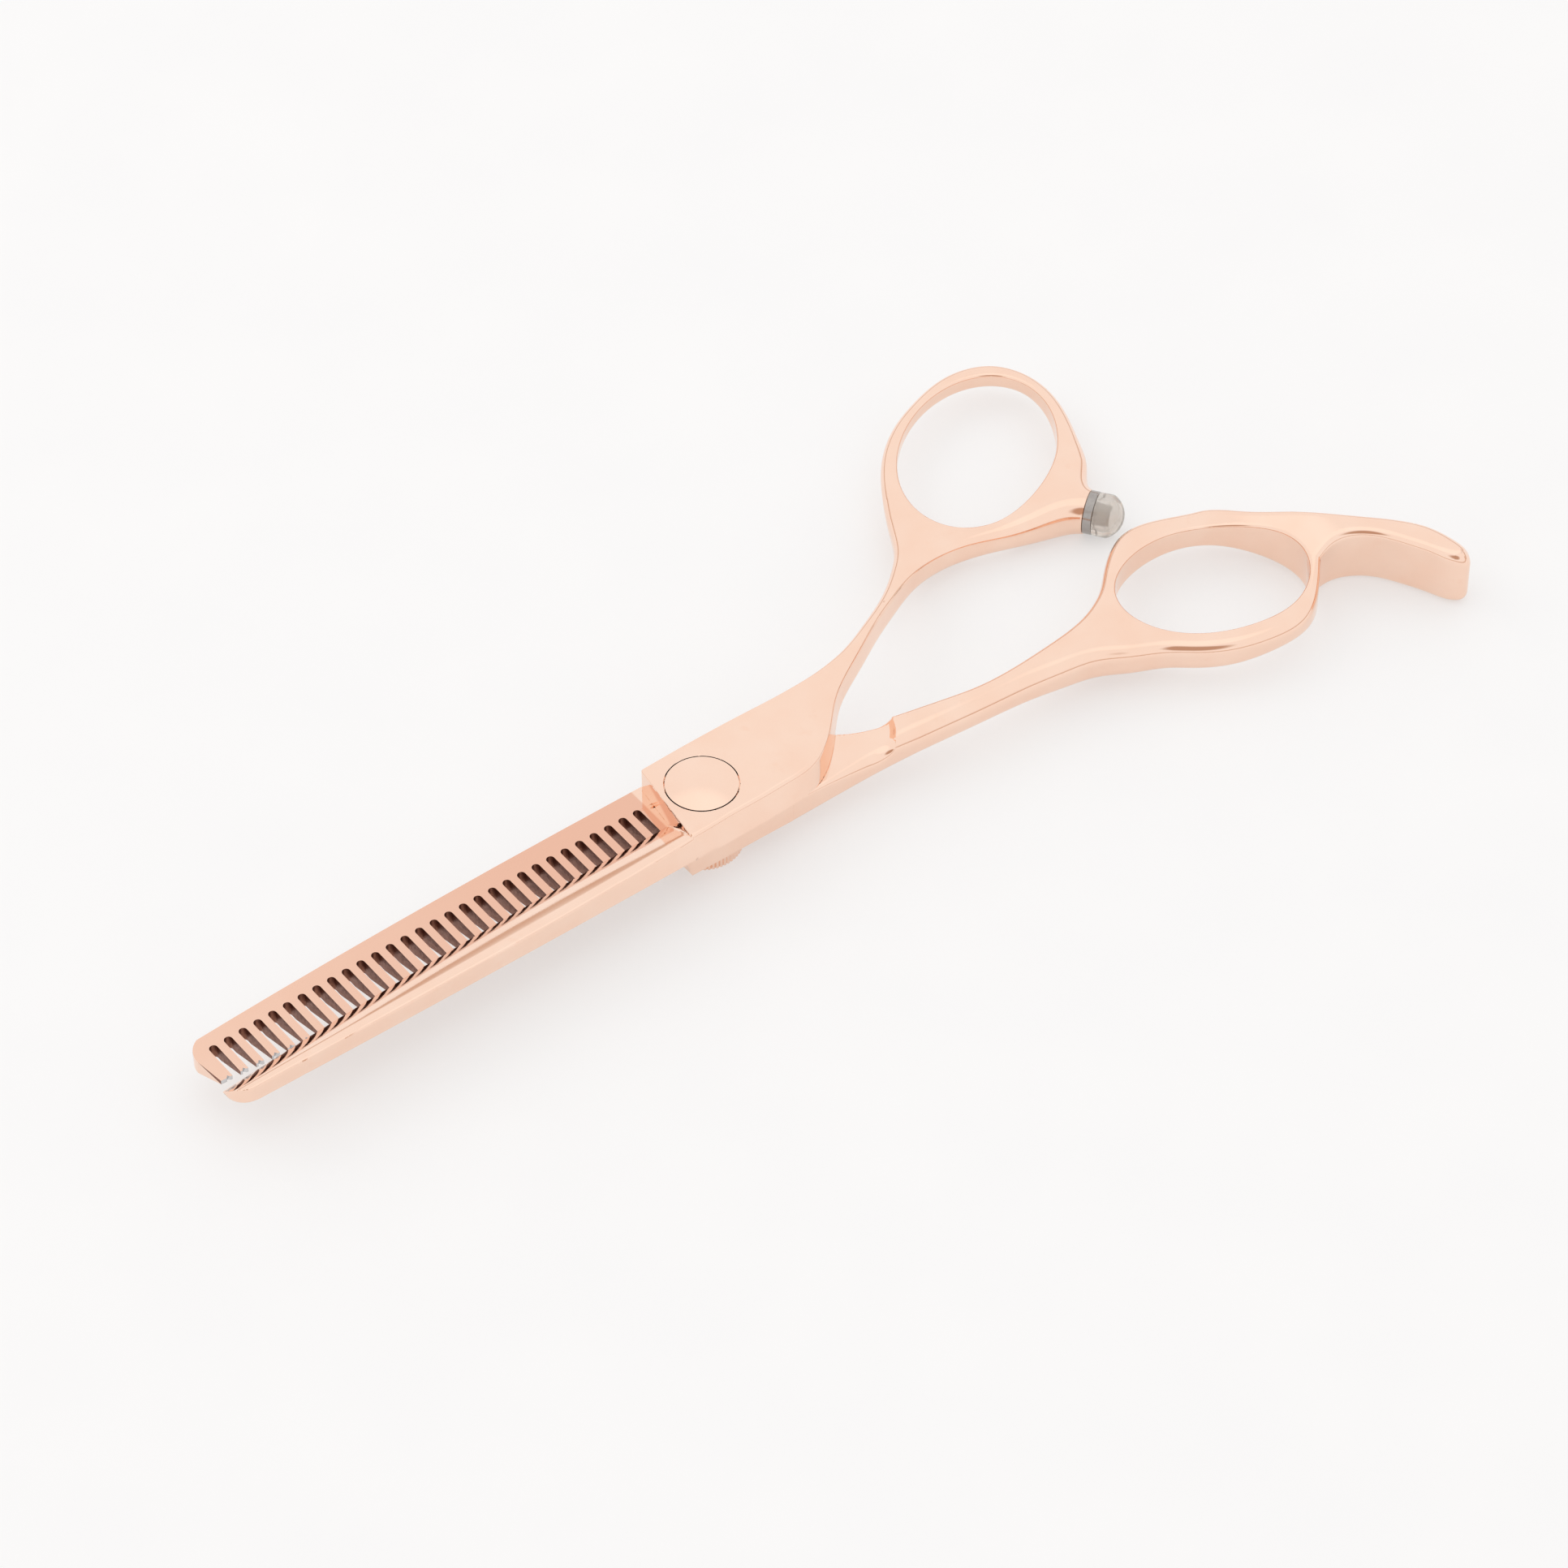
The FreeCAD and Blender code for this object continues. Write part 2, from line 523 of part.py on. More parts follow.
def make_thumb_blade():
    """Solid blade and its pivot plate."""
    body = new_body("thumb_blade")
    outline = sketch(body, "thumb_plate_outline", "XY_Plane", thumb_plate_outline(), THUMB_BASE)
    pad(body, "thumb_plate_pad", outline, "sizes.plate_height")
    doc.recompute()
    tip = -size("solid_length")
    stations = [-size("plate_front") + 0.6, 0.3 * tip, 0.6 * tip, 0.85 * tip, tip]
    sections = [sketch(body, f"solid_section_{i}", "YZ_Plane", solid_section(x), x)
                for i, x in enumerate(stations)]
    loft = body.newObject("PartDesign::AdditiveLoft", "solid_blade_loft")
    loft.Profile = sections[0]
    loft.Sections = sections[1:]
    doc.recompute()
    spine = -size("solid_spine")
    corner = [line((tip - 1, spine - 1), (tip + 1.9, spine - 1)), line((tip + 1.9, spine - 1), (tip + 1.9, spine)),
              Part.Arc(Vector(tip + 1.9, spine, 0), Vector(tip + 0.5, spine + 0.6, 0),
                       Vector(tip, spine + 2.2, 0)),
              line((tip, spine + 2.2), (tip - 1, spine + 2.2)), line((tip - 1, spine + 2.2), (tip - 1, spine - 1))]
    nose = sketch(body, "solid_nose", "XY_Plane", corner, THUMB_TOP + OVERCUT)
    pocket(body, "solid_nose_cut", nose, size("plate_height") + 2 * OVERCUT)
    lean = sketch(body, "near_lean", "YZ_Plane",
                  polygon([(-size("plate_near") - 0.5, THUMB_TOP + 0.5), (-size("plate_near") - 0.5, THUMB_BASE + 0.4),
                           (-size("plate_near"), THUMB_BASE + 0.4), (-size("plate_near") + 0.9, THUMB_TOP),
                           (-size("plate_near") + 0.9, THUMB_TOP + 0.5)]), -size("plate_front"))
    pocket(body, "near_lean_cut", lean, 13.0, reverse=True)
    bore(body, "head_seat", size("head_radius") + size("head_gap"), THUMB_TOP, size("head_recess"))
    radius, flat = size("neck_radius") + size("slip_fit"), size("neck_flat") + size("slip_fit")
    half = math.sqrt(radius ** 2 - flat ** 2)
    key = [line((-half, -flat), (half, -flat)),
           Part.Arc(Vector(half, -flat, 0), Vector(radius, 0, 0), Vector(half, flat, 0)),
           line((half, flat), (-half, flat)),
           Part.Arc(Vector(-half, flat, 0), Vector(-radius, 0, 0), Vector(-half, -flat, 0))]
    keyed = sketch(body, "neck_key", "XY_Plane", key, THUMB_TOP)
    pocket(body, "neck_bore", keyed, size("plate_height") + OVERCUT)


# ---------------------------------------------------------------------------------------------
# Handles
# ---------------------------------------------------------------------------------------------
def ring_point(which, clock, band):
    """Point of a ring's outside at a clock angle measured from the hole's long direction."""
    a, b = size(f"{which}_long") + band, size(f"{which}_wide") + band
    c = math.radians(clock)
    dx, dy = turned(size(f"{which}_turn"), a * math.cos(c), b * math.sin(c))
    return size(f"{which}_x") + dx, size(f"{which}_y") + dy


def along(start, end, stations):
    """Points beside the straight line from start to end: share of the way, and offset along Y."""
    return [(blend(start[0], end[0], share), blend(start[1], end[1], share) + off) for share, off in stations]


def bumper_seat():
    """Middle of the flat that the bumper's collar sits on, and the bumper's direction."""
    x, y = size("thumb_x") + 5.0, size("thumb_y") - 13.7
    direction = turned(size("bumper_turn"), 1.0, 0.0)
    return Vector(x, y, size("bumper_radius")), Vector(*direction, 0)


def thumb_outline():
    """Thumb handle in plan: shank, arm to the bumper, ring."""
    weld = size("weld_thumb")
    near, far = -size("plate_near") + 8.0, size("plate_far") + 0.45
    centre = (size("thumb_x"), size("thumb_y"))
    seat, direction = bumper_seat()
    across = Vector(-direction.y, direction.x, 0) * (size("bumper_radius") + 0.05)
    low, high = seat - across, seat + across
    near_side = [(weld, near)] + along((weld, near), centre, [
        (0.14, 0.15), (0.29, 0.05), (0.41, -0.1), (0.51, -0.45), (0.60, -1.6), (0.69, -4.05)]) + [
        (centre[0] - 6.2, centre[1] - 12.4), (centre[0] - 0.2, centre[1] - 14.0), (low.x, low.y)]
    arm = [(high.x, high.y), (centre[0] + 9.3, centre[1] - 8.2), (centre[0] + 11.2, centre[1] - 4.4)]
    outside = [ring_point("thumb", clock, blend(size("thumb_band"), size("thumb_band_far"), share))
               for clock, share in ((-36, 0.3), (-12, 0.7), (13, 1.0), (38, 0.6), (62, 0.1), (85, 0.0), (107, 0.0), (128, 0.3))]
    shank = along((weld, far), centre, [
        (0.666, 4.5), (0.571, 1.85), (0.485, 0.55), (0.364, -0.65), (0.217, -1.2), (0.1, -1.1)])
    return [line((weld, far), (weld, near)), curve(near_side), line((low.x, low.y), (high.x, high.y)),
            curve(arm + outside + shank + [(weld, far)])]


NOTCH_ALONG = 11.4


def finger_outline():
    """Finger handle in plan: neck, shank, ring, hooked finger rest."""
    weld = size("weld_finger")
    near, far = -size("finger_near") - 0.35, -0.9
    x, y = size("finger_x"), size("finger_y")
    near_side = [(weld, near)] + along((weld, near), (x, y), [
        (0.12, -0.5), (0.33, -1.1), (0.45, -1.3), (0.54, -1.8), (0.62, -2.5), (0.69, -4.1), (0.775, -6.0)])
    below = [ring_point("finger", clock, size("finger_band")) for clock in (-118, -98, -78, -56)]
    notch = (x + NOTCH_ALONG, y - 5.0)
    inside = [notch, (x + 13.6, y - 4.7), (x + 15.9, y - 5.3), (x + 18.0, y - 7.1), (x + 19.7, y - 9.8),
              (x + 21.1, y - 12.6), (x + 22.2, y - 15.2), (x + 23.8, y - 16.0), (x + 25.0, y - 14.8),
              (x + 25.1, y - 12.2), (x + 23.8, y - 8.6), (x + 20.9, y - 5.0), (x + 17.2, y - 1.5),
              (x + 13.4, y + 2.5), (x + 10.0, y + 6.5), (x + 6.6, y + 9.8)]
    above = [ring_point("finger", clock, size("finger_band_far")) for clock in (83, 100, 118)]
    shank = along((weld, far), (x, y), [
        (0.885, 9.2), (0.84, 7.1), (0.8, 5.25), (0.735, 3.3), (0.655, 1.9), (0.545, 0.2), (0.43, -0.9),
        (0.32, -1.5), (0.21, -1.4), (0.11, -1.2)])
    return [line((weld, far), (weld, near)), curve(near_side + below + [notch]),
            curve(inside + above + shank + [(weld, far)])]


def profile_cut(body, name, points, above):
    """Cut the body with a smooth side profile of (x, z) points: all above it, or all below it."""
    level = THUMB_TOP + 5 * OVERCUT if above else -5 * OVERCUT
    first, last = points[0], points[-1]
    curves = [curve(points), line(last, (last[0], level)), line((last[0], level), (first[0], level)),
              line((first[0], level), first)]
    side = sketch(body, f"{name}_profile", "XZ_Plane", curves)
    pocket(body, name, side, 200.0, both_ways=True)


def hole_curve(which):
    """Outline of a ring's hole."""
    centre = Vector(size(f"{which}_x"), size(f"{which}_y"), 0)
    long_way = Vector(*turned(size(f"{which}_turn"), size(f"{which}_long"), 0), 0)
    wide_way = Vector(*turned(size(f"{which}_turn"), 0, size(f"{which}_wide")), 0)
    return [Part.Ellipse(centre + long_way, centre + wide_way, centre)]


def make_handle(name, outline, which, top, bottom):
    """A forged handle: plan outline with a ring hole, side profiles above and below, rounded edges."""
    body = new_body(name)
    plan = sketch(body, f"{name}_outline", "XY_Plane", outline + hole_curve(which), -2 * OVERCUT)
    pad(body, f"{name}_pad", plan, f"{TOP_CELLS} + 4")
    doc.recompute()
    profile_cut(body, f"{name}_top", top, above=True)
    profile_cut(body, f"{name}_bottom", bottom, above=False)
    return body


def is_hole_edge(edge, which):
    """True for the closed edges round a ring's hole."""
    return edge.isClosed() and edge.BoundBox.DiagonalLength > size(f"{which}_long")


def is_rim(edge, which):
    """True for the long edges round the top and the underside of a handle, not those of the bumper's seat."""
    box = edge.BoundBox
    on_weld = box.XMax < size(f"weld_{which}") + 0.01
    upright = box.XLength + box.YLength < 0.5
    at_seat = edge.Length < 2 * size("bumper_radius") + 0.3
    return not (on_weld or upright or at_seat or edge.isClosed())


def make_thumb_handle():
    """Thumb handle: shank and ring, with a seat bored for the bumper's stud."""
    weld, x = size("weld_thumb"), size("thumb_x")
    ring_base = size("bumper_radius") - size("thumb_ring_height") / 2
    ring_top = ring_base + size("thumb_ring_height")
    beyond = x + size("thumb_long") + 10
    top = along((weld, THUMB_TOP), (x - 4, ring_top), [
        (-0.06, 0.0), (0.0, 0.0), (0.1, 0.36), (0.28, 0.26), (0.44, -0.3), (0.6, -0.7), (0.82, -0.5), (1.0, 0.0)])
    top += [(x + 5, ring_top), (beyond, ring_top)]
    bottom = along((weld, THUMB_BASE), (x - 4, ring_base), [
        (-0.06, 0.0), (0.0, 0.0), (0.1, 0.2), (0.28, 0.2), (0.44, -0.3), (0.6, -0.8), (0.82, -0.6), (1.0, 0.0)])
    bottom += [(x + 5, ring_base), (beyond, ring_base)]
    body = make_handle("thumb_handle", thumb_outline(), "thumb", top, bottom)

    seat, direction = bumper_seat()
    drill = body.newObject("PartDesign::SubtractiveCylinder", "stud_bore")
    drill.Placement = Placement(seat - direction * size("stud_reach"), Rotation(Vector(0, 0, 1), direction))
    bind(drill, Radius="sizes.stud_radius + sizes.slip_fit", Height="sizes.stud_reach + 1")
    doc.recompute()
    round_edges(body, "thumb_rim", "sizes.thumb_edge_round", lambda edge: is_rim(edge, "thumb"))
    round_edges(body, "thumb_hole_rim", "sizes.hole_edge_round", lambda edge: is_hole_edge(edge, "thumb"))


def make_finger_handle():
    """Finger handle: scooped neck, shank, ring and hooked rest."""
    weld, x = size("weld_finger"), size("finger_x")
    low = size("finger_ring_base")
    ring_top = low + size("finger_ring_height")
    shank_base = FINGER_BASE + 0.35
    shank_top = shank_base + size("shank_height")
    end = x + 27
    top = [(weld - 1, MATING), (weld, MATING), (weld + 1.4, MATING + 0.05), (weld + 3.2, MATING + 0.75),
           (weld + 5.2, shank_top - 0.1), (weld + 9, shank_top), (blend(weld, x, 0.4), shank_top - 0.4),
           (blend(weld, x, 0.65), blend(shank_top, ring_top, 0.6)), (x - 10, ring_top), (x, ring_top),
           (x + 9.5, ring_top + 0.15), (x + 14.5, size("rest_height") - 0.2), (x + 19, size("rest_height")),
           (end, size("rest_height"))]
    bottom = [(weld - 1, FINGER_BASE), (weld, FINGER_BASE), (weld + 6, shank_base - 0.05),
              (weld + 14, shank_base - 0.15), (blend(weld, x, 0.5), blend(shank_base, low, 0.45)),
              (x - 14, low + 0.35), (x - 6, low), (x + 6, low), (x + 13, 0.093), (x + 17, 0.048), (end, 0.048)]
    body = make_handle("finger_handle", finger_outline(), "finger", top, bottom)
    notch_x = x + NOTCH_ALONG
    round_edges(body, "rest_notch", "sizes.notch_round",
                lambda edge: abs(edge.BoundBox.Center.x - notch_x) < 0.1 and edge.BoundBox.ZLength > 2)
    round_edges(body, "finger_rim", "sizes.finger_edge_round", lambda edge: is_rim(edge, "finger"))


def make_bumper():
    """Bumper and its stud, built along +X and laid on the seat."""
    seat, direction = bumper_seat()
    place = Placement(seat, Rotation(Vector(1, 0, 0), direction))
    stud = new_body("bumper_stud")
    reach, collar, button = size("stud_reach"), size("collar_length"), size("button_length")
    section = sketch(stud, "stud_section", "XY_Plane", polygon([
        (-reach, 0), (-reach, size("stud_radius")), (0, size("stud_radius")), (0, size("bumper_radius")),
        (collar, size("bumper_radius")), (collar, size("button_radius")),
        (collar + button, size("button_radius")), (collar + button, 0)]))
    turn(stud, "stud_turn", section)
    stud.Placement = place

    cap = new_body("bumper")
    radius, length, fit = size("bumper_radius"), size("bumper_length"), size("slip_fit")
    shoulder = 0.63 * length
    centre = (length ** 2 - shoulder ** 2 - radius ** 2) / (2 * (length - shoulder))
    slant = (length - centre) * math.sqrt(0.5)
    outline = [line((collar, size("button_radius") + fit), (collar, radius)), line((collar, radius), (shoulder, radius)),
               Part.Arc(Vector(shoulder, radius, 0), Vector(centre + slant, slant, 0), Vector(length, 0, 0)),
               line((length, 0), (collar + button + fit, 0)),
               line((collar + button + fit, 0), (collar + button + fit, size("button_radius") + fit)),
               line((collar + button + fit, size("button_radius") + fit), (collar, size("button_radius") + fit))]
    turn(cap, "bumper_turn_feature", sketch(cap, "bumper_section", "XY_Plane", outline))
    cap.Placement = place


def turn(body, name, section):
    """Turn a section round the body's X axis."""
    feature = body.newObject("PartDesign::Revolution", name)
    feature.Profile = section
    feature.ReferenceAxis = (section, ["H_Axis"])
    feature.Angle = 360
    doc.recompute()


if __name__ == "__main__":
    make_pivot_screw()
    make_rings()
    make_disc_spring()
    make_click_plate()
    make_tension_dial()
    make_retaining_screw()
    make_finger_blade()
    make_thumb_blade()
    make_thumb_handle()
    make_finger_handle()
    make_bumper()
    doc.recompute()
    NODES = ["finger_blade", "finger_handle", "thumb_blade", "thumb_handle", "pivot_screw", "head_washer",
             "pivot_bushing", "ride_washer", "thrust_washer", "disc_spring", "click_plate", "tension_dial",
             "retaining_screw", "bumper_stud", "bumper"]
    for obj in doc.Objects:
        if "Invalid" in obj.State or "Error" in obj.State:
            raise RuntimeError(f"{obj.Name} failed: {obj.State}")
    os.makedirs("parts", exist_ok=True)
    for name in NODES:
        shape = doc.getObject(name).Shape
        if shape.isNull() or not shape.isValid():
            raise RuntimeError(f"{name} is not a valid shape")
        print(name, round(shape.Volume, 2), len(shape.Solids), shape.BoundBox)
    for name in NODES:
        doc.getObject(name).Shape.exportStep(f"parts/{name}.step")
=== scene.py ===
"""Hair thinning shears in polished rose-gold steel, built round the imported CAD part.

The two forgings are implicit solids, polygonised with exact corner normals. Shape values are in
millimetres in the part's own frame, with the pivot on the Z axis; meshes are made in metres.
"""

import math

import bmesh
import bpy
import numpy as np
from mathutils import Matrix, Vector


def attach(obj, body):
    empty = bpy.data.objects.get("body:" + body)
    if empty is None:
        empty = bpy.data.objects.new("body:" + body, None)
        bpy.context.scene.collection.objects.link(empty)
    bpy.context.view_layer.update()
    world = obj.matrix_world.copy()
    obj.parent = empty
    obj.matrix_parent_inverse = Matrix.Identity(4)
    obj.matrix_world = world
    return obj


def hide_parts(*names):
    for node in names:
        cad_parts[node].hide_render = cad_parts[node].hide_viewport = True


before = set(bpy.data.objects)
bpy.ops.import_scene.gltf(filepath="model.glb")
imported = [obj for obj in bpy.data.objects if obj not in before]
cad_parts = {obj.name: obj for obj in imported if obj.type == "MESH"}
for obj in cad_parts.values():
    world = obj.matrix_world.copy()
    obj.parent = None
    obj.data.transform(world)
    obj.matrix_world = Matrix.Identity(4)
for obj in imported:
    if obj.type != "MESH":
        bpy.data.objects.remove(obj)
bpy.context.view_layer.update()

MM = 0.001

# ---------------------------------------------------------------------------------------------
# Levels and places, in millimetres
# ---------------------------------------------------------------------------------------------
FINGER_BASE = 2.8          # underside of the toothed blade
MATING = 5.75              # its upper face
THUMB_BASE = 5.85          # underside of the solid blade and its plate
PLATE_TOP = 8.8
WALL = PLATE_TOP - THUMB_BASE
COMB_CUT_X = 8.0           # the toothed blade ends here, inside the finger forging
RIM_R = 0.35               # rounding of both finger holes at the top


# ---------------------------------------------------------------------------------------------
# Curves in plan and in side view
# ---------------------------------------------------------------------------------------------
def bends(p, h):
    """Second derivatives, at the values p with spacings h, of the natural cubic spline through them."""
    n = len(p)
    a, b = np.zeros((n, n)), np.zeros_like(p)
    a[0, 0] = a[-1, -1] = 1
    for i in range(1, n - 1):
        a[i, i - 1:i + 2] = h[i - 1], 2 * (h[i - 1] + h[i]), h[i]
        b[i] = 6 * ((p[i + 1] - p[i]) / h[i] - (p[i] - p[i - 1]) / h[i - 1])
    return np.linalg.solve(a, b)


def cubic_spans(points):
    """Natural cubic spline through points: per-span coefficients of 1, t, t^2, t^3, with t from 0 to 1."""
    p = np.array(points, float)
    if len(p) == 2:
        return np.stack([p[:1], p[1:] - p[:1], 0 * p[:1], 0 * p[:1]], 1)
    h = np.linalg.norm(np.diff(p, axis=0), axis=1)
    m = bends(p, h)
    h = h[:, None]
    return np.stack([p[:-1], np.diff(p, axis=0) - h * h * (2 * m[:-1] + m[1:]) / 6,
                     h * h * m[:-1] / 2, h * h * np.diff(m, axis=0) / 6], 1)


def cubic_at(c, t):
    """Points of the spans c at t, with their first and second derivatives."""
    t = t[..., None]
    c0, c1, c2, c3 = c[..., 0, :], c[..., 1, :], c[..., 2, :], c[..., 3, :]
    return (c0 + t * (c1 + t * (c2 + t * c3)), c1 + t * (2 * c2 + 3 * t * c3), 2 * c2 + 6 * t * c3)


class Profile:
    """Height along X: a smooth curve through (x, z) points."""

    def __init__(self, points):
        self.x = np.array([p[0] for p in points], float)
        self.z = np.array([p[1] for p in points], float)
        self.m = bends(self.z, np.diff(self.x))

    def __call__(self, x):
        x = np.clip(x, self.x[0], self.x[-1])
        i = np.clip(np.searchsorted(self.x, x) - 1, 0, len(self.x) - 2)
        h = self.x[i + 1] - self.x[i]
        s, t = (self.x[i + 1] - x) / h, (x - self.x[i]) / h
        return (s * self.z[i] + t * self.z[i + 1]
                + ((s ** 3 - s) * self.m[i] + (t ** 3 - t) * self.m[i + 1]) * h * h / 6)


class Outline:
    """Closed outline in plan, counterclockwise, of smooth pieces that meet at corners.

    A piece is a list of points (x, y, *extras). The extras, such as edge radii, run evenly between
    points, and signed_distance gives them at the nearest place of the outline.
    """

    STEPS = 7              # chords of a span
    BATCH = 8192           # points measured at a time

    def __init__(self, *pieces):
        spans, extras, segments = [], [], []
        for points in pieces:
            first = len(spans)
            spans.extend(cubic_spans([p[:2] for p in points]))
            extras.extend((p[2:], q[2:]) for p, q in zip(points, points[1:]))
            for k in range(first, len(spans)):
                for s in range(self.STEPS):
                    segments.append((k, s / self.STEPS, (s + 1) / self.STEPS,
                                     k == first and s == 0, k == len(spans) - 1 and s == self.STEPS - 1))
        self.spans = np.array(spans)
        self.extras = np.array(extras, float)
        self.k = np.array([s[0] for s in segments])
        self.t0 = np.array([s[1] for s in segments])
        self.t1 = np.array([s[2] for s in segments])
        self.a = cubic_at(self.spans[self.k], self.t0)[0]
        self.b = cubic_at(self.spans[self.k], self.t1)[0]
        self.ends = np.array([s[3] for s in segments]), np.array([s[4] for s in segments])

    def inside(self, p):
        """Whether points lie inside, by crossings of the chords."""
        a, b = self.a, self.b
        rise = b[:, 1] - a[:, 1]
        rise = np.where(rise == 0, 1e-12, rise)
        spans_y = (a[:, 1] > p[:, 1:]) != (b[:, 1] > p[:, 1:])
        at = a[:, 0] + (b[:, 0] - a[:, 0]) * (p[:, 1:] - a[:, 1]) / rise
        return (spans_y & (p[:, :1] < at)).sum(1) % 2 == 1

    def signed_distance(self, x, y):
        """Distance to the outline, negative inside, and the extras at the nearest place."""
        x, y = np.broadcast_arrays(x, y)
        p = np.stack([x.ravel(), y.ravel()], 1)
        distance = np.empty(len(p))
        extras = np.empty((len(p), self.extras.shape[2]))
        ab = self.b - self.a
        ab2 = (ab ** 2).sum(1)
        for start in range(0, len(p), self.BATCH):
            batch = slice(start, start + self.BATCH)
            q = p[batch]
            s = ((q[:, None, 0] - self.a[:, 0]) * ab[:, 0] + (q[:, None, 1] - self.a[:, 1]) * ab[:, 1]) / ab2
            np.clip(s, 0, 1, out=s)
            dx = q[:, None, 0] - self.a[:, 0] - s * ab[:, 0]
            dy = q[:, None, 1] - self.a[:, 1] - s * ab[:, 1]
            near = (dx * dx + dy * dy).argmin(1)
            rows = np.arange(len(q))
            k = self.k[near]
            t = self.t0[near] + s[rows, near] * (self.t1 - self.t0)[near]
            c = self.spans[k]
            for _ in range(3):
                at, slope, bend = cubic_at(c, t)
                speed = (slope ** 2).sum(1)
                step = ((at - q) * slope).sum(1) / np.maximum(speed + ((at - q) * bend).sum(1), 0.3 * speed)
                t = np.clip(t - step, 0, 1)
            at, slope, _ = cubic_at(c, t)
            off = q - at
            sign = np.where(slope[:, 0] * off[:, 1] - slope[:, 1] * off[:, 0] > 0, -1.0, 1.0)
            corner = (self.ends[0][near] & (t <= 1e-9)) | (self.ends[1][near] & (t >= 1 - 1e-9))
            if corner.any():
                sign[corner] = np.where(self.inside(q[corner]), -1.0, 1.0)
            distance[batch] = sign * np.hypot(off[:, 0], off[:, 1])
            first, last = self.extras[k, 0], self.extras[k, 1]
            extras[batch] = first + t[:, None] * (last - first)
        shape = x.shape
        return distance.reshape(shape), [extras[:, i].reshape(shape) for i in range(extras.shape[1])]


# ---------------------------------------------------------------------------------------------
# Implicit solids: negative inside
# ---------------------------------------------------------------------------------------------
TINY = 1e-9                # least value kept at the ends of a crossed edge
MIDDLE_HOLD = 0.06         # pull of a vertex to the middle of its crossings
CELL_SLACK = 0.2           # share of a cell that a vertex may leave it by
CREASE = 24                # degrees


def round_max(a, b, r):
    """Intersection of two solids whose common edge is rounded by r."""
    return np.minimum(-r, np.maximum(a, b)) + np.hypot(np.maximum(a + r, 0), np.maximum(b + r, 0))


def round_min(a, b, r):
    """Union of two solids with a fillet of r between them."""
    return -round_max(-a, -b, r)


def smooth(t):
    """Smooth step from 0 to 1 while t runs from 0 to 1."""
    t = np.clip(t, 0, 1)
    return t * t * (3 - 2 * t)


def out_of_ellipse(x, y, centre, turn, a, b):
    """Negative outside an elliptic hole: close to the distance near its wall."""
    c, s = math.cos(math.radians(turn)), math.sin(math.radians(turn))
    dx, dy = x - centre[0], y - centre[1]
    u, v = (dx * c + dy * s), (dy * c - dx * s)
    level = np.hypot(u / a, v / b)
    slope = np.hypot(u / a ** 2, v / b ** 2)
    return -level * (level - 1) / np.maximum(slope, 1e-6)


def at_points(solid, p):
    return solid(p[:, 0], p[:, 1], p[:, 2])


def unit(v):
    return v / np.maximum(np.linalg.norm(v, axis=1, keepdims=True), 1e-12)


def gradient(solid, p, reach=0.012):
    """Slope of an implicit solid's value at points, from four samples round each."""
    n = np.zeros_like(p)
    for way in ((1, -1, -1), (-1, -1, 1), (-1, 1, -1), (1, 1, 1)):
        way = np.array(way, float)
        n += way * at_points(solid, p + way * reach)[:, None]
    return n / (4 * reach)


def crossings(solid, f, axis, origin, cell):
    """Grid edges along an axis that cross the surface: their start cells, places, and way out."""
    inside = f < 0
    start, end = [slice(None)] * 3, [slice(None)] * 3
    start[axis], end[axis] = slice(None, -1), slice(1, None)
    ijk = np.argwhere(inside[tuple(start)] != inside[tuple(end)])
    step = np.zeros(3, int)
    step[axis] = 1
    f0, f1 = f[tuple(ijk.T)], f[tuple((ijk + step).T)]
    t0, t1 = np.zeros(len(ijk)), np.ones(len(ijk))
    for _ in range(3):
        t = t0 + (t1 - t0) * f0 / (f0 - f1)
        p = origin + cell * (ijk + step * t[:, None])
        ft = at_points(solid, p)
        same = (ft < 0) == (f0 < 0)
        t0, f0 = np.where(same, t, t0), np.where(same, ft, f0)
        t1, f1 = np.where(same, t1, t), np.where(same, f1, ft)
        f0 = np.where(np.abs(f0) < TINY, np.copysign(TINY, f0), f0)
        f1 = np.where(np.abs(f1) < TINY, np.copysign(TINY, f1), f1)
    return ijk, p, inside[tuple(ijk.T)]


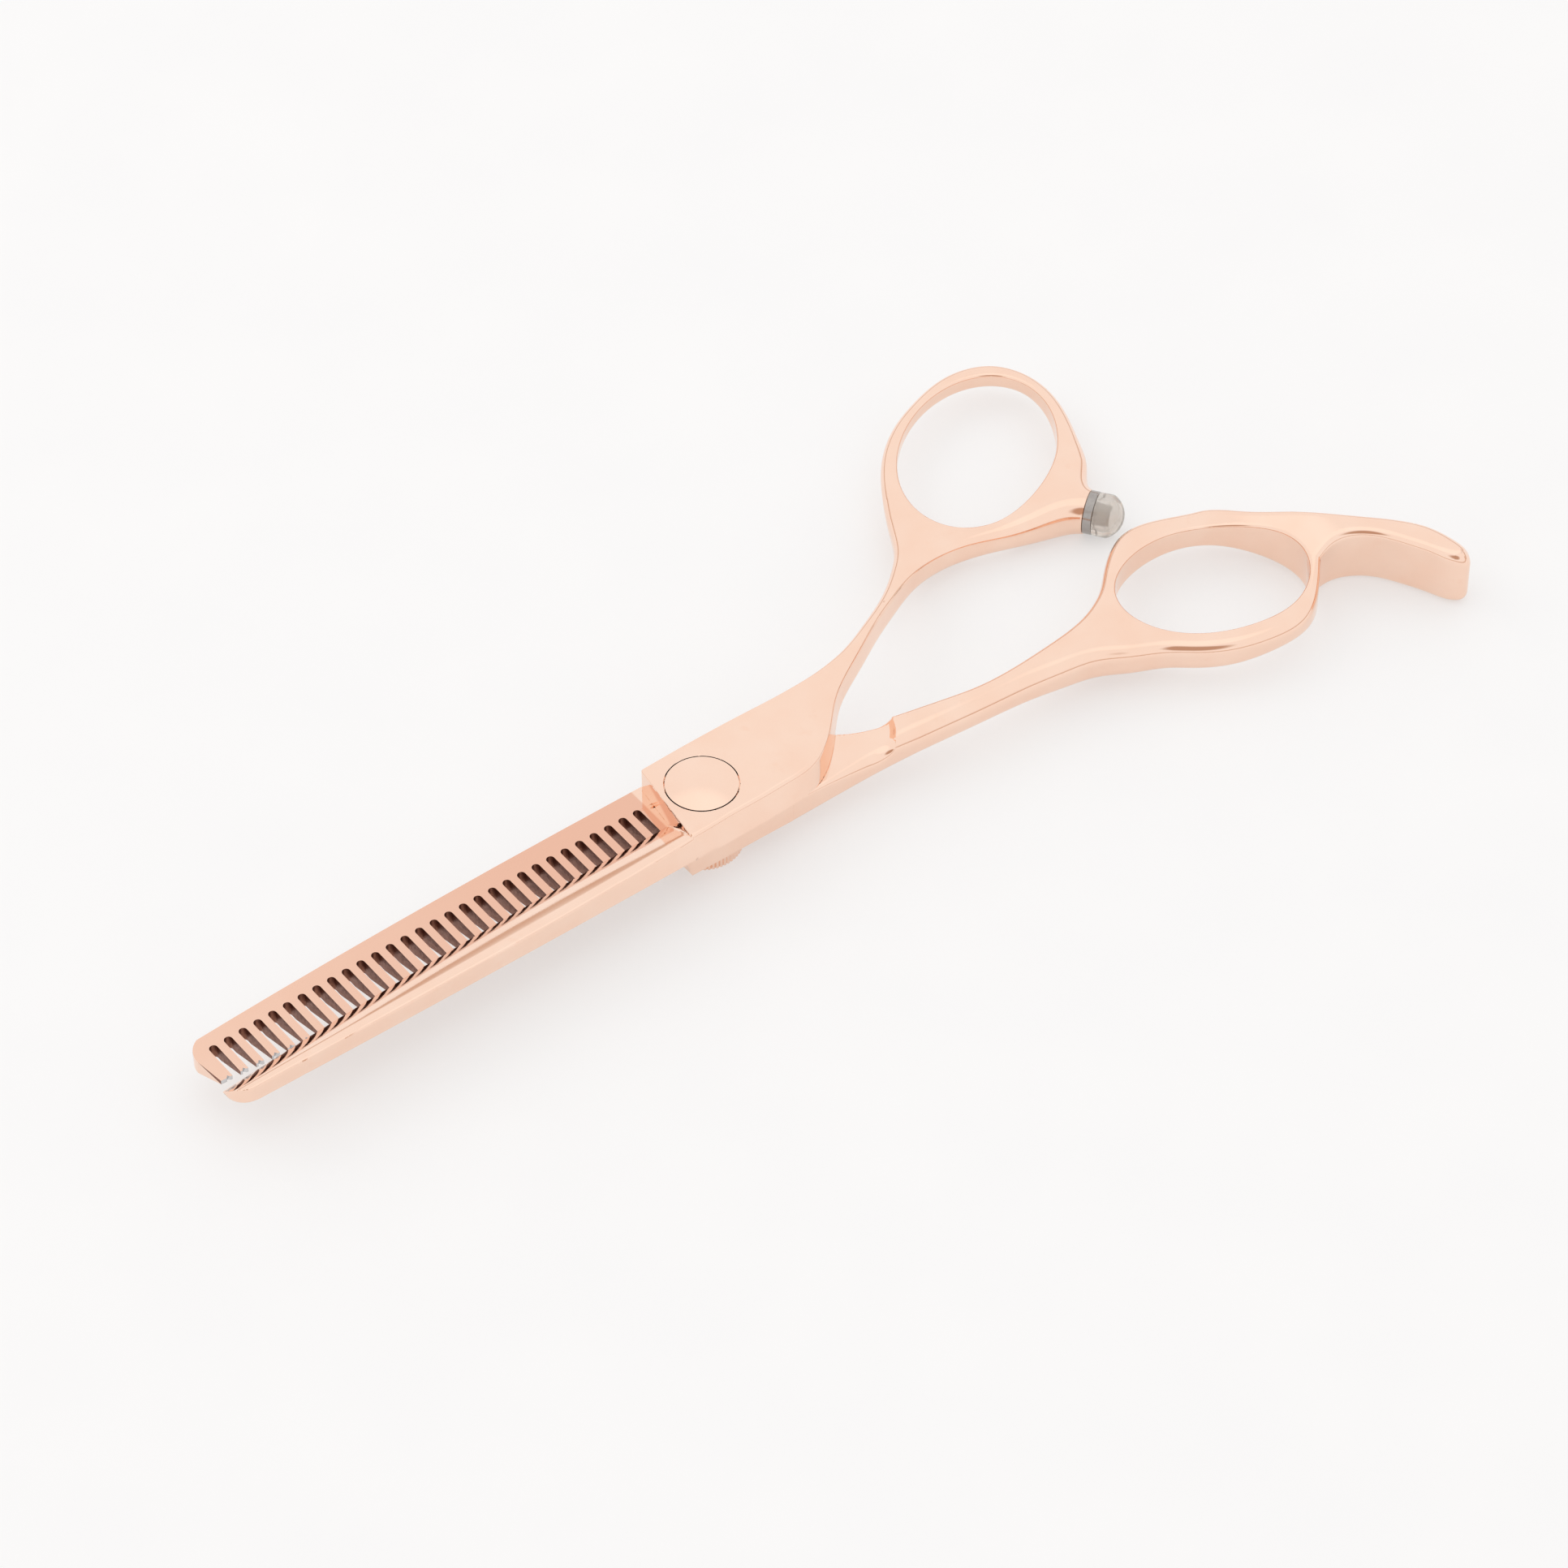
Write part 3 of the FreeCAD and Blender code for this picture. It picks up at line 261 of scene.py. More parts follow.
def polygonise(solid, low, high, cell):
    """Surface of an implicit solid by dual contouring: vertices, quads and exact corner normals."""
    axes = [np.arange(lo, hi + cell, cell) for lo, hi in zip(low, high)]
    f = solid(axes[0][:, None, None], axes[1][None, :, None], axes[2][None, None, :])
    f = np.broadcast_to(f, [len(a) for a in axes])
    origin = np.array([a[0] for a in axes])

    quads, hits = [], []
    for axis in range(3):
        ijk, p, outward = crossings(solid, f, axis, origin, cell)
        b, c = [a for a in range(3) if a != axis]
        corners = []
        for db, dc in ((0, 0), (-1, 0), (-1, -1), (0, -1)):
            cells = ijk.copy()
            cells[:, b] += db
            cells[:, c] += dc
            corners.append(np.ravel_multi_index(tuple(cells.T), f.shape))
        around = np.stack(corners, 1)
        forward = outward if axis != 1 else ~outward
        quads.append(np.where(forward[:, None], around, around[:, ::-1]))
        hits.append((around, p, unit(gradient(solid, p))))

    # one vertex in each crossed cell, where the tangent planes of its crossings meet
    cells = np.unique(np.concatenate([hit[0].ravel() for hit in hits]))
    total = len(cells)
    ata, atb = np.zeros((total, 3, 3)), np.zeros((total, 3))
    middle, count = np.zeros((total, 3)), np.zeros(total)
    for around, p, n in hits:
        nn = n[:, :, None] * n[:, None, :]
        nb = n * (n * p).sum(1, keepdims=True)
        for corner in range(4):
            at = np.searchsorted(cells, around[:, corner])
            np.add.at(ata, at, nn)
            np.add.at(atb, at, nb)
            np.add.at(middle, at, p)
            np.add.at(count, at, 1)
    middle /= count[:, None]
    ata += MIDDLE_HOLD * np.eye(3)
    atb += MIDDLE_HOLD * middle
    v = np.linalg.solve(ata, atb[:, :, None])[:, :, 0]
    corner = origin + cell * np.stack(np.unravel_index(cells, f.shape), 1)
    v = np.clip(v, corner - CELL_SLACK * cell, corner + (1 + CELL_SLACK) * cell)
    for _ in range(2):
        g = gradient(solid, v)
        v -= at_points(solid, v)[:, None] * g / np.maximum((g ** 2).sum(1, keepdims=True), 0.25)
    faces = np.searchsorted(cells, np.concatenate(quads))

    # corner normals: the vertex's own where the surface is smooth, the face's across a crease
    at_vertex = unit(gradient(solid, v))
    at_face = unit(gradient(solid, v[faces].mean(1)))
    normals = np.empty((len(faces), 4, 3))
    for k in range(4):
        own = at_vertex[faces[:, k]]
        close = (own * at_face).sum(1) > math.cos(math.radians(CREASE))
        normals[:, k] = np.where(close[:, None], own, at_face)
    v[:, 2] = np.maximum(v[:, 2], 0.0)     # nothing goes below the table
    return v, faces, normals


WELD = 1e-7                # metres


def link(piece):
    bpy.context.scene.collection.objects.link(piece)
    return piece


def mesh_object(name, v, faces, normals=None):
    """A mesh object from millimetre vertices, with given corner normals if there are any."""
    mesh = bpy.data.meshes.new(name)
    mesh.from_pydata((v * MM).tolist(), [], faces.tolist())
    mesh.update()
    if normals is not None:
        mesh.shade_smooth()
        mesh.normals_split_custom_set(normals.reshape(-1, 3).tolist())
    return link(bpy.data.objects.new(name, mesh))


# ---------------------------------------------------------------------------------------------
# Thumb half: solid blade, plate, shank, ring and bumper seat in one forging
# ---------------------------------------------------------------------------------------------
SOLID_TIP = -64.0
THUMB_CENTRE, THUMB_TURN, THUMB_LONG, THUMB_WIDE = (58.69, 26.77), 37.3, 12.75, 8.75
THUMB_RING = (0.8, 4.2)    # heights of the ring's faces
SEAT = np.array([63.5, 12.8])
SEAT_TURN = math.radians(-55)
SEAT_WAY = np.array([math.cos(SEAT_TURN), math.sin(SEAT_TURN)])
SEAT_PAST = 3              # the outline runs past the seat, and a plane cuts it off
BUMPER_R = 2.5
BUMPER_GAP = 0.02          # the boss round the seat is this much slimmer than the bumper


def ring_points(centre, turn, a, b, clocks, bands, *extras):
    """Points outside a ring's hole at clock angles, each with its band width."""
    c, s = math.cos(math.radians(turn)), math.sin(math.radians(turn))
    made = []
    for clock, band in zip(clocks, bands):
        u = (a + band) * math.cos(math.radians(clock))
        v = (b + band) * math.sin(math.radians(clock))
        made.append((centre[0] + u * c - v * s, centre[1] + u * s + v * c) + extras)
    return made


def thumb_outline():
    """Extras: top radius, bottom radius, lean of the side over the plate's height."""
    across = np.array([-SEAT_WAY[1], SEAT_WAY[0]]) * BUMPER_R
    low, high = SEAT - across, SEAT + across
    low_out, high_out = low + SEAT_PAST * SEAT_WAY, high + SEAT_PAST * SEAT_WAY
    near = [(-9.0, -6.45, 0.3, 0.1, 0.5), (0.0, -6.35, 0.3, 0.1, 0.85), (7.5, -6.15, 0.35, 0.1, 0.9),
            (11.7, -5.4, 0.4, 0.1, 0.7), (13.9, -4.1, 0.4, 0.15, 0.5), (16.0, -2.3, 0.4, 0.3, 0.4),
            (20.0, 1.7, 0.4, 0.7, 0.4), (25.2, 5.1, 0.4, 1.0, 0.4), (31.0, 8.9, 0.45, 1.2, 0.3),
            (35.6, 11.7, 0.5, 1.3, 0.3), (39.5, 13.8, 0.6, 1.3, 0.3), (43.9, 15.15, 0.7, 1.3, 0.3),
            (48.4, 15.2, 0.8, 1.4, 0.3), (52.3, 14.2, 1.1, 1.6, 0.3), (57.5, 12.75, 1.7, 2.0, 0.2),
            (low[0], low[1], 2.3, 2.3, 0.0), (low_out[0], low_out[1], 2.3, 2.3, 0.0)]
    arm = [(high_out[0], high_out[1], 2.3, 2.3, 0.0), (high[0], high[1], 2.3, 2.3, 0.0),
           (67.8, 18.2, 1.7, 1.7, 0.0), (69.6, 21.8, 1.5, 1.5, 0.0)]
    ring = [(71.2, 26.1, 1.4, 1.4, 0.0), (71.95, 30.2, 1.3, 1.3, 0.0), (71.3, 34.3, 1.2, 1.2, 0.0),
            (69.2, 37.4, 1.2, 1.2, 0.0), (66.3, 38.85, 1.2, 1.2, 0.0), (63.2, 39.15, 1.2, 1.2, 0.0),
            (58.5, 38.1, 1.2, 1.2, 0.0), (53.9, 36.1, 1.3, 1.2, 0.0), (48.95, 32.0, 1.5, 1.3, 0.0),
            (45.9, 27.8, 1.6, 1.4, 0.0)]
    far = [(43.5, 23.7, 1.6, 1.4, 0.0), (41.1, 19.5, 1.4, 1.2, 0.0), (38.4, 16.5, 1.2, 1.0, 0.0),
           (34.3, 13.0, 1.0, 0.9, 0.0), (28.9, 9.5, 0.8, 0.7, 0.0), (24.3, 7.25, 0.7, 0.6, 0.0),
           (20.0, 6.2, 0.5, 0.5, 0.0), (16.0, 5.8, 0.2, 0.15, 0.0), (9.0, 5.8, 0.12, 0.1, 0.0),
           (-3.6, 5.6, 0.12, 0.1, 0.0), (-9.0, 5.4, 0.12, 0.1, 0.0)]
    return Outline(near, [near[-1], arm[0]], arm + ring + far, [far[-1], near[0]])


THUMB_PLAN = thumb_outline()
THUMB_TOP = Profile([(-70, PLATE_TOP), (16, PLATE_TOP), (20, PLATE_TOP), (23.4, 8.75), (29.5, 8.05),
                     (34.9, 6.75), (40.4, 5.5), (48.0, 4.4), (54.3, THUMB_RING[1]), (80, THUMB_RING[1])])
THUMB_BOTTOM = Profile([(-70, THUMB_BASE), (16, THUMB_BASE), (20, THUMB_BASE), (23.4, 5.6), (29.5, 4.6),
                        (34.9, 3.3), (40.4, 2.2), (48.0, 1.05), (54.3, THUMB_RING[0]),
                        (80, THUMB_RING[0])])
HEAD_SEAT_R, HEAD_SEAT_Z = 4.12, 7.6
# How far the near wall of blade and plate leans back over the plate's height, along X.
NEAR_LEAN = Profile([(-66, 0.08), (-30, 0.1), (-20, 0.2), (-14, 0.36), (-9, 0.5), (0, 0.85), (7.5, 0.9)])
FRONT_X, FRONT_Y, FRONT_SKEW = -4.06, 5.44, 0.13    # the plate's front wall, where the blade begins


def thumb_forging(x, y, z):
    d, (top_r, bottom_r, lean) = THUMB_PLAN.signed_distance(x, y)
    to_seat = (x - SEAT[0]) * SEAT_WAY[0] + (y - SEAT[1]) * SEAT_WAY[1]
    near_seat = smooth(1 - (np.hypot(x - SEAT[0], y - SEAT[1]) - BUMPER_R) / 9.0)
    far_lift = 1.2 * smooth((y - 22.0) / 12.0)
    top = THUMB_TOP(x) + near_seat * (2 * BUMPER_R - BUMPER_GAP - THUMB_RING[1])
    bottom = THUMB_BOTTOM(x) + far_lift - near_seat * (THUMB_RING[0] - BUMPER_GAP)
    height = top - bottom
    top_r, bottom_r = np.minimum(top_r, 0.55 * height), np.minimum(bottom_r, 0.45 * height)
    slope = lean / WALL
    side = (d + slope * (z - bottom)) / np.sqrt(1 + slope ** 2)
    hole = out_of_ellipse(x, y, THUMB_CENTRE, THUMB_TURN, THUMB_LONG, THUMB_WIDE)
    over, under = z - top, bottom - z
    outer = np.maximum(round_max(side, over, top_r), round_max(side, under, bottom_r))
    inner = np.maximum(round_max(hole, over, RIM_R), round_max(hole, under, 0.9))
    body = np.maximum(np.maximum(outer, inner), to_seat)

    front = (FRONT_X - x + (y - FRONT_Y) * FRONT_SKEW) / 1.01
    body = round_max(body, front, 0.28)
    body = round_min(body, solid_blade(x, y, z), 0.3 * smooth((y + 5.3) / 1.2))
    body = np.maximum(body, z - PLATE_TOP)

    rho = np.hypot(x, y)
    seat = np.maximum(rho - HEAD_SEAT_R, HEAD_SEAT_Z - z)
    body = round_max(body, -seat, 0.06)
    return np.maximum(body, HEAD_SEAT_R * 0.5 - rho)


EDGE_ROOT, EDGE_TIP = 0.7, 3.35      # how far the cutting edge lies on the near side of the axis
SPINE_Y = -6.35
TIP_HEIGHT = 2.2
NOSE_R = 2.3


def solid_blade(x, y, z):
    """Solid blade: thick spine on the near side, swelling bevel, thin edge on the far side."""
    share = np.clip(x / SOLID_TIP, 0, 1)
    edge = -(EDGE_ROOT + (EDGE_TIP - EDGE_ROOT) * share ** 2.1)
    spine = SPINE_Y - 0.2 * np.sin(math.pi * share)
    height = WALL + (TIP_HEIGHT - WALL) * share
    slope = NEAR_LEAN(x) / WALL
    ridge = spine + slope * height + 0.25
    land = 0.08
    over = z - THUMB_BASE
    t = np.clip((y - ridge) / (edge - ridge), -0.3, 1.3)
    rise = (height - land) / (edge - ridge)
    bevel = (over - (height - (height - land) * t + 0.75 * t * (1 - t))) / np.sqrt(1 + rise ** 2)
    near = (spine - y + slope * over) / np.sqrt(1 + slope ** 2) + 0.05 * smooth((x + 7.0) / 3.0)
    body = round_max(near, round_max(bevel, over - height, 0.5), 0.3)
    body = np.maximum(body, np.maximum(-over, y - edge))
    nose_x, nose_y = SOLID_TIP + NOSE_R, spine + NOSE_R
    nose = np.where((x < nose_x) & (y < nose_y), np.hypot(x - nose_x, y - nose_y) - NOSE_R, SOLID_TIP - x)
    body = round_max(body, nose, 0.12)
    return np.maximum(body, x + 3.0)


# ---------------------------------------------------------------------------------------------
# Finger half behind the pivot: neck with its scoop, shank, ring and hooked rest
# ---------------------------------------------------------------------------------------------
FINGER_CENTRE, FINGER_TURN, FINGER_LONG, FINGER_WIDE = (65.9, -6.25), -18.2, 11.1, 8.15


def finger_outline():
    """Extras: top radius and bottom radius."""
    cx, cy = FINGER_CENTRE
    near = [(6.0, -5.7, 0.15, 0.15), (12.5, -5.8, 0.5, 0.6), (18.6, -6.05, 1.4, 1.0), (24.3, -6.6, 1.8, 1.3),
            (34.2, -7.25, 1.8, 1.4), (39.9, -7.45, 1.8, 1.3), (44.1, -7.95, 1.7, 1.3), (47.9, -8.65, 1.6, 1.3),
            (51.2, -10.2, 1.5, 1.3), (55.3, -12.1, 1.4, 1.3)]
    below = ring_points(FINGER_CENTRE, FINGER_TURN, FINGER_LONG, FINGER_WIDE,
                        (-118, -98, -78, -56), (2.6, 2.6, 2.6, 2.5), 1.3, 1.3)
    notch = (cx + 11.4, cy - 5.0, 0.9, 0.9)
    rest = [(cx + 13.6, cy - 4.6, 0.9, 0.9), (cx + 15.9, cy - 5.3, 0.9, 0.9), (cx + 18.0, cy - 7.1, 0.9, 0.9),
            (cx + 19.7, cy - 9.8, 0.9, 0.9), (cx + 21.1, cy - 12.6, 0.9, 0.9),
            (cx + 22.3, cy - 15.0, 1.2, 1.0), (cx + 23.6, cy - 15.85, 1.9, 1.2),
            (cx + 24.85, cy - 14.9, 2.2, 1.2), (cx + 25.0, cy - 12.4, 2.0, 1.1),
            (cx + 23.7, cy - 8.8, 1.6, 1.0), (cx + 20.7, cy - 5.2, 1.3, 0.9), (cx + 17.0, cy - 1.7, 1.2, 0.9),
            (cx + 13.3, cy + 2.3, 1.0, 1.0), (cx + 10.0, cy + 6.3, 1.2, 1.2), (cx + 6.6, cy + 9.7, 1.3, 1.3)]
    above = ring_points(FINGER_CENTRE, FINGER_TURN, FINGER_LONG, FINGER_WIDE,
                        (83, 100, 118), (3.3, 3.4, 3.6), 1.4, 1.4)
    far = [(59.4, 4.15, 1.4, 1.3), (57.2, 2.25, 1.3, 1.2), (55.3, 0.45, 1.2, 1.1), (52.8, -1.25, 1.1, 1.0),
           (49.8, -2.55, 1.1, 1.0), (44.1, -3.6, 1.1, 1.0), (38.9, -4.1, 1.0, 1.0), (33.7, -4.1, 1.0, 1.0),
           (28.5, -3.4, 0.9, 1.0), (23.8, -2.6, 0.6, 0.9), (18.6, -0.9, 0.3, 0.7), (15.0, 1.9, 0.15, 0.4),
           (11.0, 4.9, 0.1, 0.15), (6.0, 5.9, 0.1, 0.15)]
    return Outline(near + below + [notch], [notch] + rest + above + far, [far[-1], near[0]])


FINGER_PLAN = finger_outline()
SHANK_TOP, RING_TOP, REST_TOP = 6.85, 5.6, 7.4
RING_BASE, REST_BASE = 1.8, 0.05
FINGER_TOP = Profile([(0, SHANK_TOP), (24, SHANK_TOP), (28, SHANK_TOP), (37.5, 6.45), (49.4, 6.1),
                      (56, RING_TOP), (66, RING_TOP), (75.4, 5.75), (80.4, 7.2), (85, REST_TOP),
                      (93, REST_TOP)])
FINGER_BOTTOM = Profile([(0, FINGER_BASE), (18.6, FINGER_BASE), (24.6, 3.1), (32.6, 3.0), (42.2, 2.4),
                         (51.9, 1.85), (60, RING_BASE), (72, RING_BASE), (79, 0.1), (83, REST_BASE),
                         (93, REST_BASE)])
LEAST_BOTTOM = 0.03        # the bottom's curve is held this far above the table
# Plan of the flat scooped down to the mating face, so that the plate can pass over the neck.
SCOOP = Outline([(-20.0, -7.0), (8.0, -6.8), (12.5, -6.6), (16.5, -6.2), (19.4, -5.2), (21.2, -3.4),
                 (22.2, -0.8), (22.8, 3.5)],
                [(22.8, 3.5), (22.8, 14.0)], [(22.8, 14.0), (-20.0, 14.0)], [(-20.0, 14.0), (-20.0, -6.5)])
SCOOP_R = 2.3


def finger_forging(x, y, z):
    d, (top_r, bottom_r) = FINGER_PLAN.signed_distance(x, y)
    scoop, _ = SCOOP.signed_distance(x, y)
    rise = SCOOP_R - np.sqrt(np.maximum(SCOOP_R ** 2 - np.clip(scoop, 0, SCOOP_R) ** 2, 0))
    over = round_max(z - FINGER_TOP(x), z - (MATING + rise) - np.maximum(scoop - SCOOP_R, 0) * 3, 0.25)
    under = np.maximum(FINGER_BOTTOM(x), LEAST_BOTTOM) - z
    hole = out_of_ellipse(x, y, FINGER_CENTRE, FINGER_TURN, FINGER_LONG, FINGER_WIDE)
    body = np.maximum(round_max(d, over, top_r), round_max(d, under, bottom_r))
    body = np.maximum(body, np.maximum(round_max(hole, over, RIM_R), round_max(hole, under, 0.8)))
    return np.maximum(body, COMB_CUT_X - x)


# ---------------------------------------------------------------------------------------------
# Turned pieces
# ---------------------------------------------------------------------------------------------
def lathe(name, profile, place, steps=64):
    """Piece turned round +Z from (radius, height) points; smooth where the profile bends gently."""
    made = bmesh.new()
    verts = [made.verts.new((r * MM, 0, z * MM)) for r, z in profile]
    edges = [made.edges.new(pair) for pair in zip(verts, verts[1:])]
    bmesh.ops.spin(made, geom=verts + edges, axis=(0, 0, 1), cent=(0, 0, 0), angle=2 * math.pi, steps=steps,
                   use_merge=True)
    bmesh.ops.remove_doubles(made, verts=made.verts, dist=WELD)
    bmesh.ops.recalc_face_normals(made, faces=made.faces)
    bmesh.ops.transform(made, matrix=place, verts=made.verts)
    mesh = bpy.data.meshes.new(name)
    made.to_mesh(mesh)
    made.free()
    mesh.shade_smooth()
    mesh.set_sharp_from_angle(angle=math.radians(32))
    return link(bpy.data.objects.new(name, mesh))


# ---------------------------------------------------------------------------------------------
# Materials
# ---------------------------------------------------------------------------------------------
def material(name):
    """A new material: itself, its node tree, its shader and the object coordinates."""
    made = bpy.data.materials.new(name)
    made.use_nodes = True
    tree = made.node_tree
    return made, tree, tree.nodes["Principled BSDF"], tree.nodes.new("ShaderNodeTexCoord").outputs["Object"]


def add(tree, kind, **values):
    node = tree.nodes.new(kind)
    for key, value in values.items():
        node.inputs[key.replace("_", " ")].default_value = value
    return node


def noise(tree, source, scale, detail=2.0, roughness=0.5):
    node = add(tree, "ShaderNodeTexNoise", Scale=scale, Detail=detail, Roughness=roughness)
    tree.links.new(source, node.inputs["Vector"])
    return node.outputs["Fac"]


def spread(tree, source, low, high, to_low, to_high):
    """The source's range from low to high, mapped onto to_low to to_high."""
    node = add(tree, "ShaderNodeMapRange", From_Min=low, From_Max=high, To_Min=to_low, To_Max=to_high)
    tree.links.new(source, node.inputs["Value"])
    return node.outputs["Result"]


def mix_colour(tree, share, first, second):
    node = tree.nodes.new("ShaderNodeMix")
    node.data_type = "RGBA"
    tree.links.new(share, node.inputs["Factor"])
    for socket, value in ((node.inputs[6], first), (node.inputs[7], second)):
        if isinstance(value, tuple):
            socket.default_value = value
        else:
            tree.links.new(value, socket)
    return node.outputs[2]


ROSE = (0.965, 0.715, 0.580, 1)
ROSE_DEEP = (0.945, 0.645, 0.500, 1)
# Deeper orange painted on the toothed blade's upward inner face: painted shade and reflection of the gold
# round it.
COMB_SHADE = (0.85, 0.51, 0.38, 1)
CLOUD_SCALE, STAIN_SCALE = 180.0, 420.0            # per metre
LINE_SCALES = (260.0, 5200.0, 2600.0)              # polishing marks run along X


def polished(name, rough=(0.05, 0.11), comb=False):
    """Mirror-polished coated steel: faint clouding, hairline polishing marks and small warm stains; with comb
    set, a deeper painted shade and reflection on the toothed blade's inner face.
    """
    made, tree, shader, place = material(name)
    cloud = noise(tree, place, CLOUD_SCALE, 3.0)
    stain = spread(tree, noise(tree, place, STAIN_SCALE, 4.0, 0.6), 0.62, 0.78, 0.0, 0.5)
    stretch = add(tree, "ShaderNodeMapping", Scale=LINE_SCALES)
    tree.links.new(place, stretch.inputs["Vector"])
    lines = noise(tree, stretch.outputs["Vector"], 1.0, 3.0, 0.7)
    base = mix_colour(tree, spread(tree, cloud, 0.3, 0.7, 0.0, 0.6), ROSE, ROSE_DEEP)
    base = mix_colour(tree, stain, base, ROSE_DEEP)
    # painted shade and reflection on the toothed blade's inner face, deepest at its root
    if comb:
        base = mix_colour(tree, comb_shade_share(tree), base, COMB_SHADE)
    tree.links.new(base, shader.inputs["Base Color"])
    tree.links.new(spread(tree, lines, 0.3, 0.75, *rough), shader.inputs["Roughness"])
    bump = add(tree, "ShaderNodeBump", Strength=0.04, Distance=0.00002)
    tree.links.new(lines, bump.inputs["Height"])
    tree.links.new(bump.outputs["Normal"], shader.inputs["Normal"])
    shader.inputs["Metallic"].default_value = 1.0
    return made


def comb_shade_share(tree):
    """Painted shade and reflection: a deeper orange tone on the upward inner face of the toothed blade,
    growing toward its root beside the plate.
    """
    where = tree.nodes.new("ShaderNodeTexCoord")
    x = split(tree, where.outputs["Object"], "X")
    shares = (spread(tree, split(tree, where.outputs["Normal"], "Z"), 0.3, 0.9, 0.0, 1.0),
              spread(tree, x, -0.064, -0.02, 0.45, 1.0), spread(tree, x, -0.0052, -0.0050, 1.0, 0.0))
    total = shares[0]
    for share in shares[1:]:
        node = tree.nodes.new("ShaderNodeMath")
        node.operation = "MULTIPLY"
        tree.links.new(total, node.inputs[0])
        tree.links.new(share, node.inputs[1])
        total = node.outputs["Value"]
    return total


def split(tree, source, axis):
    node = tree.nodes.new("ShaderNodeSeparateXYZ")
    tree.links.new(source, node.inputs["Vector"])
    return node.outputs[axis]


def smoky_plastic(name):
    """Clear smoky-grey plastic of the bumper, with a faint flow line in it."""
    made, tree, shader, place = material(name)
    cloud = noise(tree, place, 500.0, 3.0)
    tree.links.new(mix_colour(tree, cloud, (0.95, 0.91, 0.86, 1), (0.86, 0.81, 0.75, 1)),
                   shader.inputs["Base Color"])
    tree.links.new(spread(tree, noise(tree, place, 2400.0), 0.3, 0.7, 0.03, 0.1), shader.inputs["Roughness"])
    shader.inputs["Transmission Weight"].default_value = 0.72
    shader.inputs["IOR"].default_value = 1.45
    return made


def plain_metal(name, colour, rough):
    """Bare metal with a fine grain."""
    made, tree, shader, place = material(name)
    lines = noise(tree, place, 3000.0, 4.0)
    tree.links.new(mix_colour(tree, lines, colour, tuple(0.8 * c for c in colour[:3]) + (1,)),
                   shader.inputs["Base Color"])
    tree.links.new(spread(tree, lines, 0.3, 0.7, *rough), shader.inputs["Roughness"])
    shader.inputs["Metallic"].default_value = 1.0
    return made


def washer_plastic(name):
    """Cream plastic of the slide washers and the bushing."""
    made, tree, shader, place = material(name)
    grain = noise(tree, place, 2500.0, 3.0)
    tree.links.new(mix_colour(tree, grain, (0.82, 0.80, 0.74, 1), (0.74, 0.72, 0.66, 1)),
                   shader.inputs["Base Color"])
    tree.links.new(spread(tree, grain, 0.3, 0.7, 0.35, 0.55), shader.inputs["Roughness"])
    return made


def floor_card(name):
    """Pale card that glows a little, so that the shadows on it stay soft and light."""
    made, tree, shader, place = material(name)
    grain = noise(tree, place, 60.0, 4.0)
    tree.links.new(mix_colour(tree, grain, (0.46, 0.46, 0.46, 1), (0.45, 0.45, 0.455, 1)),
                   shader.inputs["Base Color"])
    tree.links.new(mix_colour(tree, grain, (1.0, 0.995, 0.99, 1), (0.985, 0.985, 0.985, 1)),
                   shader.inputs["Emission Color"])
    shader.inputs["Emission Strength"].default_value = 0.48
    tree.links.new(spread(tree, grain, 0.3, 0.7, 0.6, 0.75), shader.inputs["Roughness"])
    return made


def dress(piece, made, slot, body, *replaced):
    """Gives a piece its material, the body it rides and the CAD nodes it stands for. The slot argument is not
    used.
    """
    piece.data.materials.append(made)
    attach(piece, body)
    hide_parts(*replaced)


rose = polished("rose_gold_polished")
rose_comb_shaded = polished("rose_gold_comb_shaded", comb=True)
# Dark brown painted on the walls inside the comb's slots: painted shade of the narrow slots, not the metal's
# own colour.
slot_painted_shade = plain_metal("slot_painted_shade", (0.27, 0.115, 0.075, 1), (0.3, 0.5))
ground_steel = plain_metal("ground_steel", (0.72, 0.72, 0.73, 1), (0.12, 0.25))
rose_head = polished("rose_gold_head", rough=(0.04, 0.08))
rose_dial = polished("rose_gold_dial", rough=(0.16, 0.28))
bright = plain_metal("bright_plate", (0.45, 0.42, 0.40, 1), (0.08, 0.18))
spring = plain_metal("spring_steel", (0.45, 0.45, 0.47, 1), (0.25, 0.4))
plastic = washer_plastic("washer_plastic")
smoky = smoky_plastic("smoky_plastic")

# ---------------------------------------------------------------------------------------------
# Build
# ---------------------------------------------------------------------------------------------
CELL = 0.22
# Each box leaves room for the grid round its forging.
thumb = mesh_object("thumb_half_forging",
                    *polygonise(thumb_forging, (-65.1, -7.3, -0.5), (75.0, 41.0, 9.6), CELL))
dress(thumb, rose, "coated_steel", "thumb_half", "thumb_blade", "thumb_handle")

finger = mesh_object("finger_half_forging",
                     *polygonise(finger_forging, (COMB_CUT_X - 0.7, -23.6, -0.6), (92.6, 7.4, 8.2), CELL))
dress(finger, rose, "coated_steel", "finger_half", "finger_handle")

# Toothed blade: the CAD's own form in front of the finger forging.
COMB_ROOT_X, COMB_END_X, COMB_TIP_X = -5.6, -63.4, -63.7      # slots, their last wall, the blade's end
TIPS_ROOT, TIPS_END, TIPS_SWELL = 3.0, 1.85, 0.75             # line of the teeth's tips
BACK_ROOT, BACK_DROP, BACK_POWER, BACK_WALL = 5.9, 1.65, 2.4, 0.6
# The slot walls take the dark painted shade.
ROSE_FACE, SLOT_SHADE_FACE, TIP_FACE = 0, 1, 2                      # material of a face


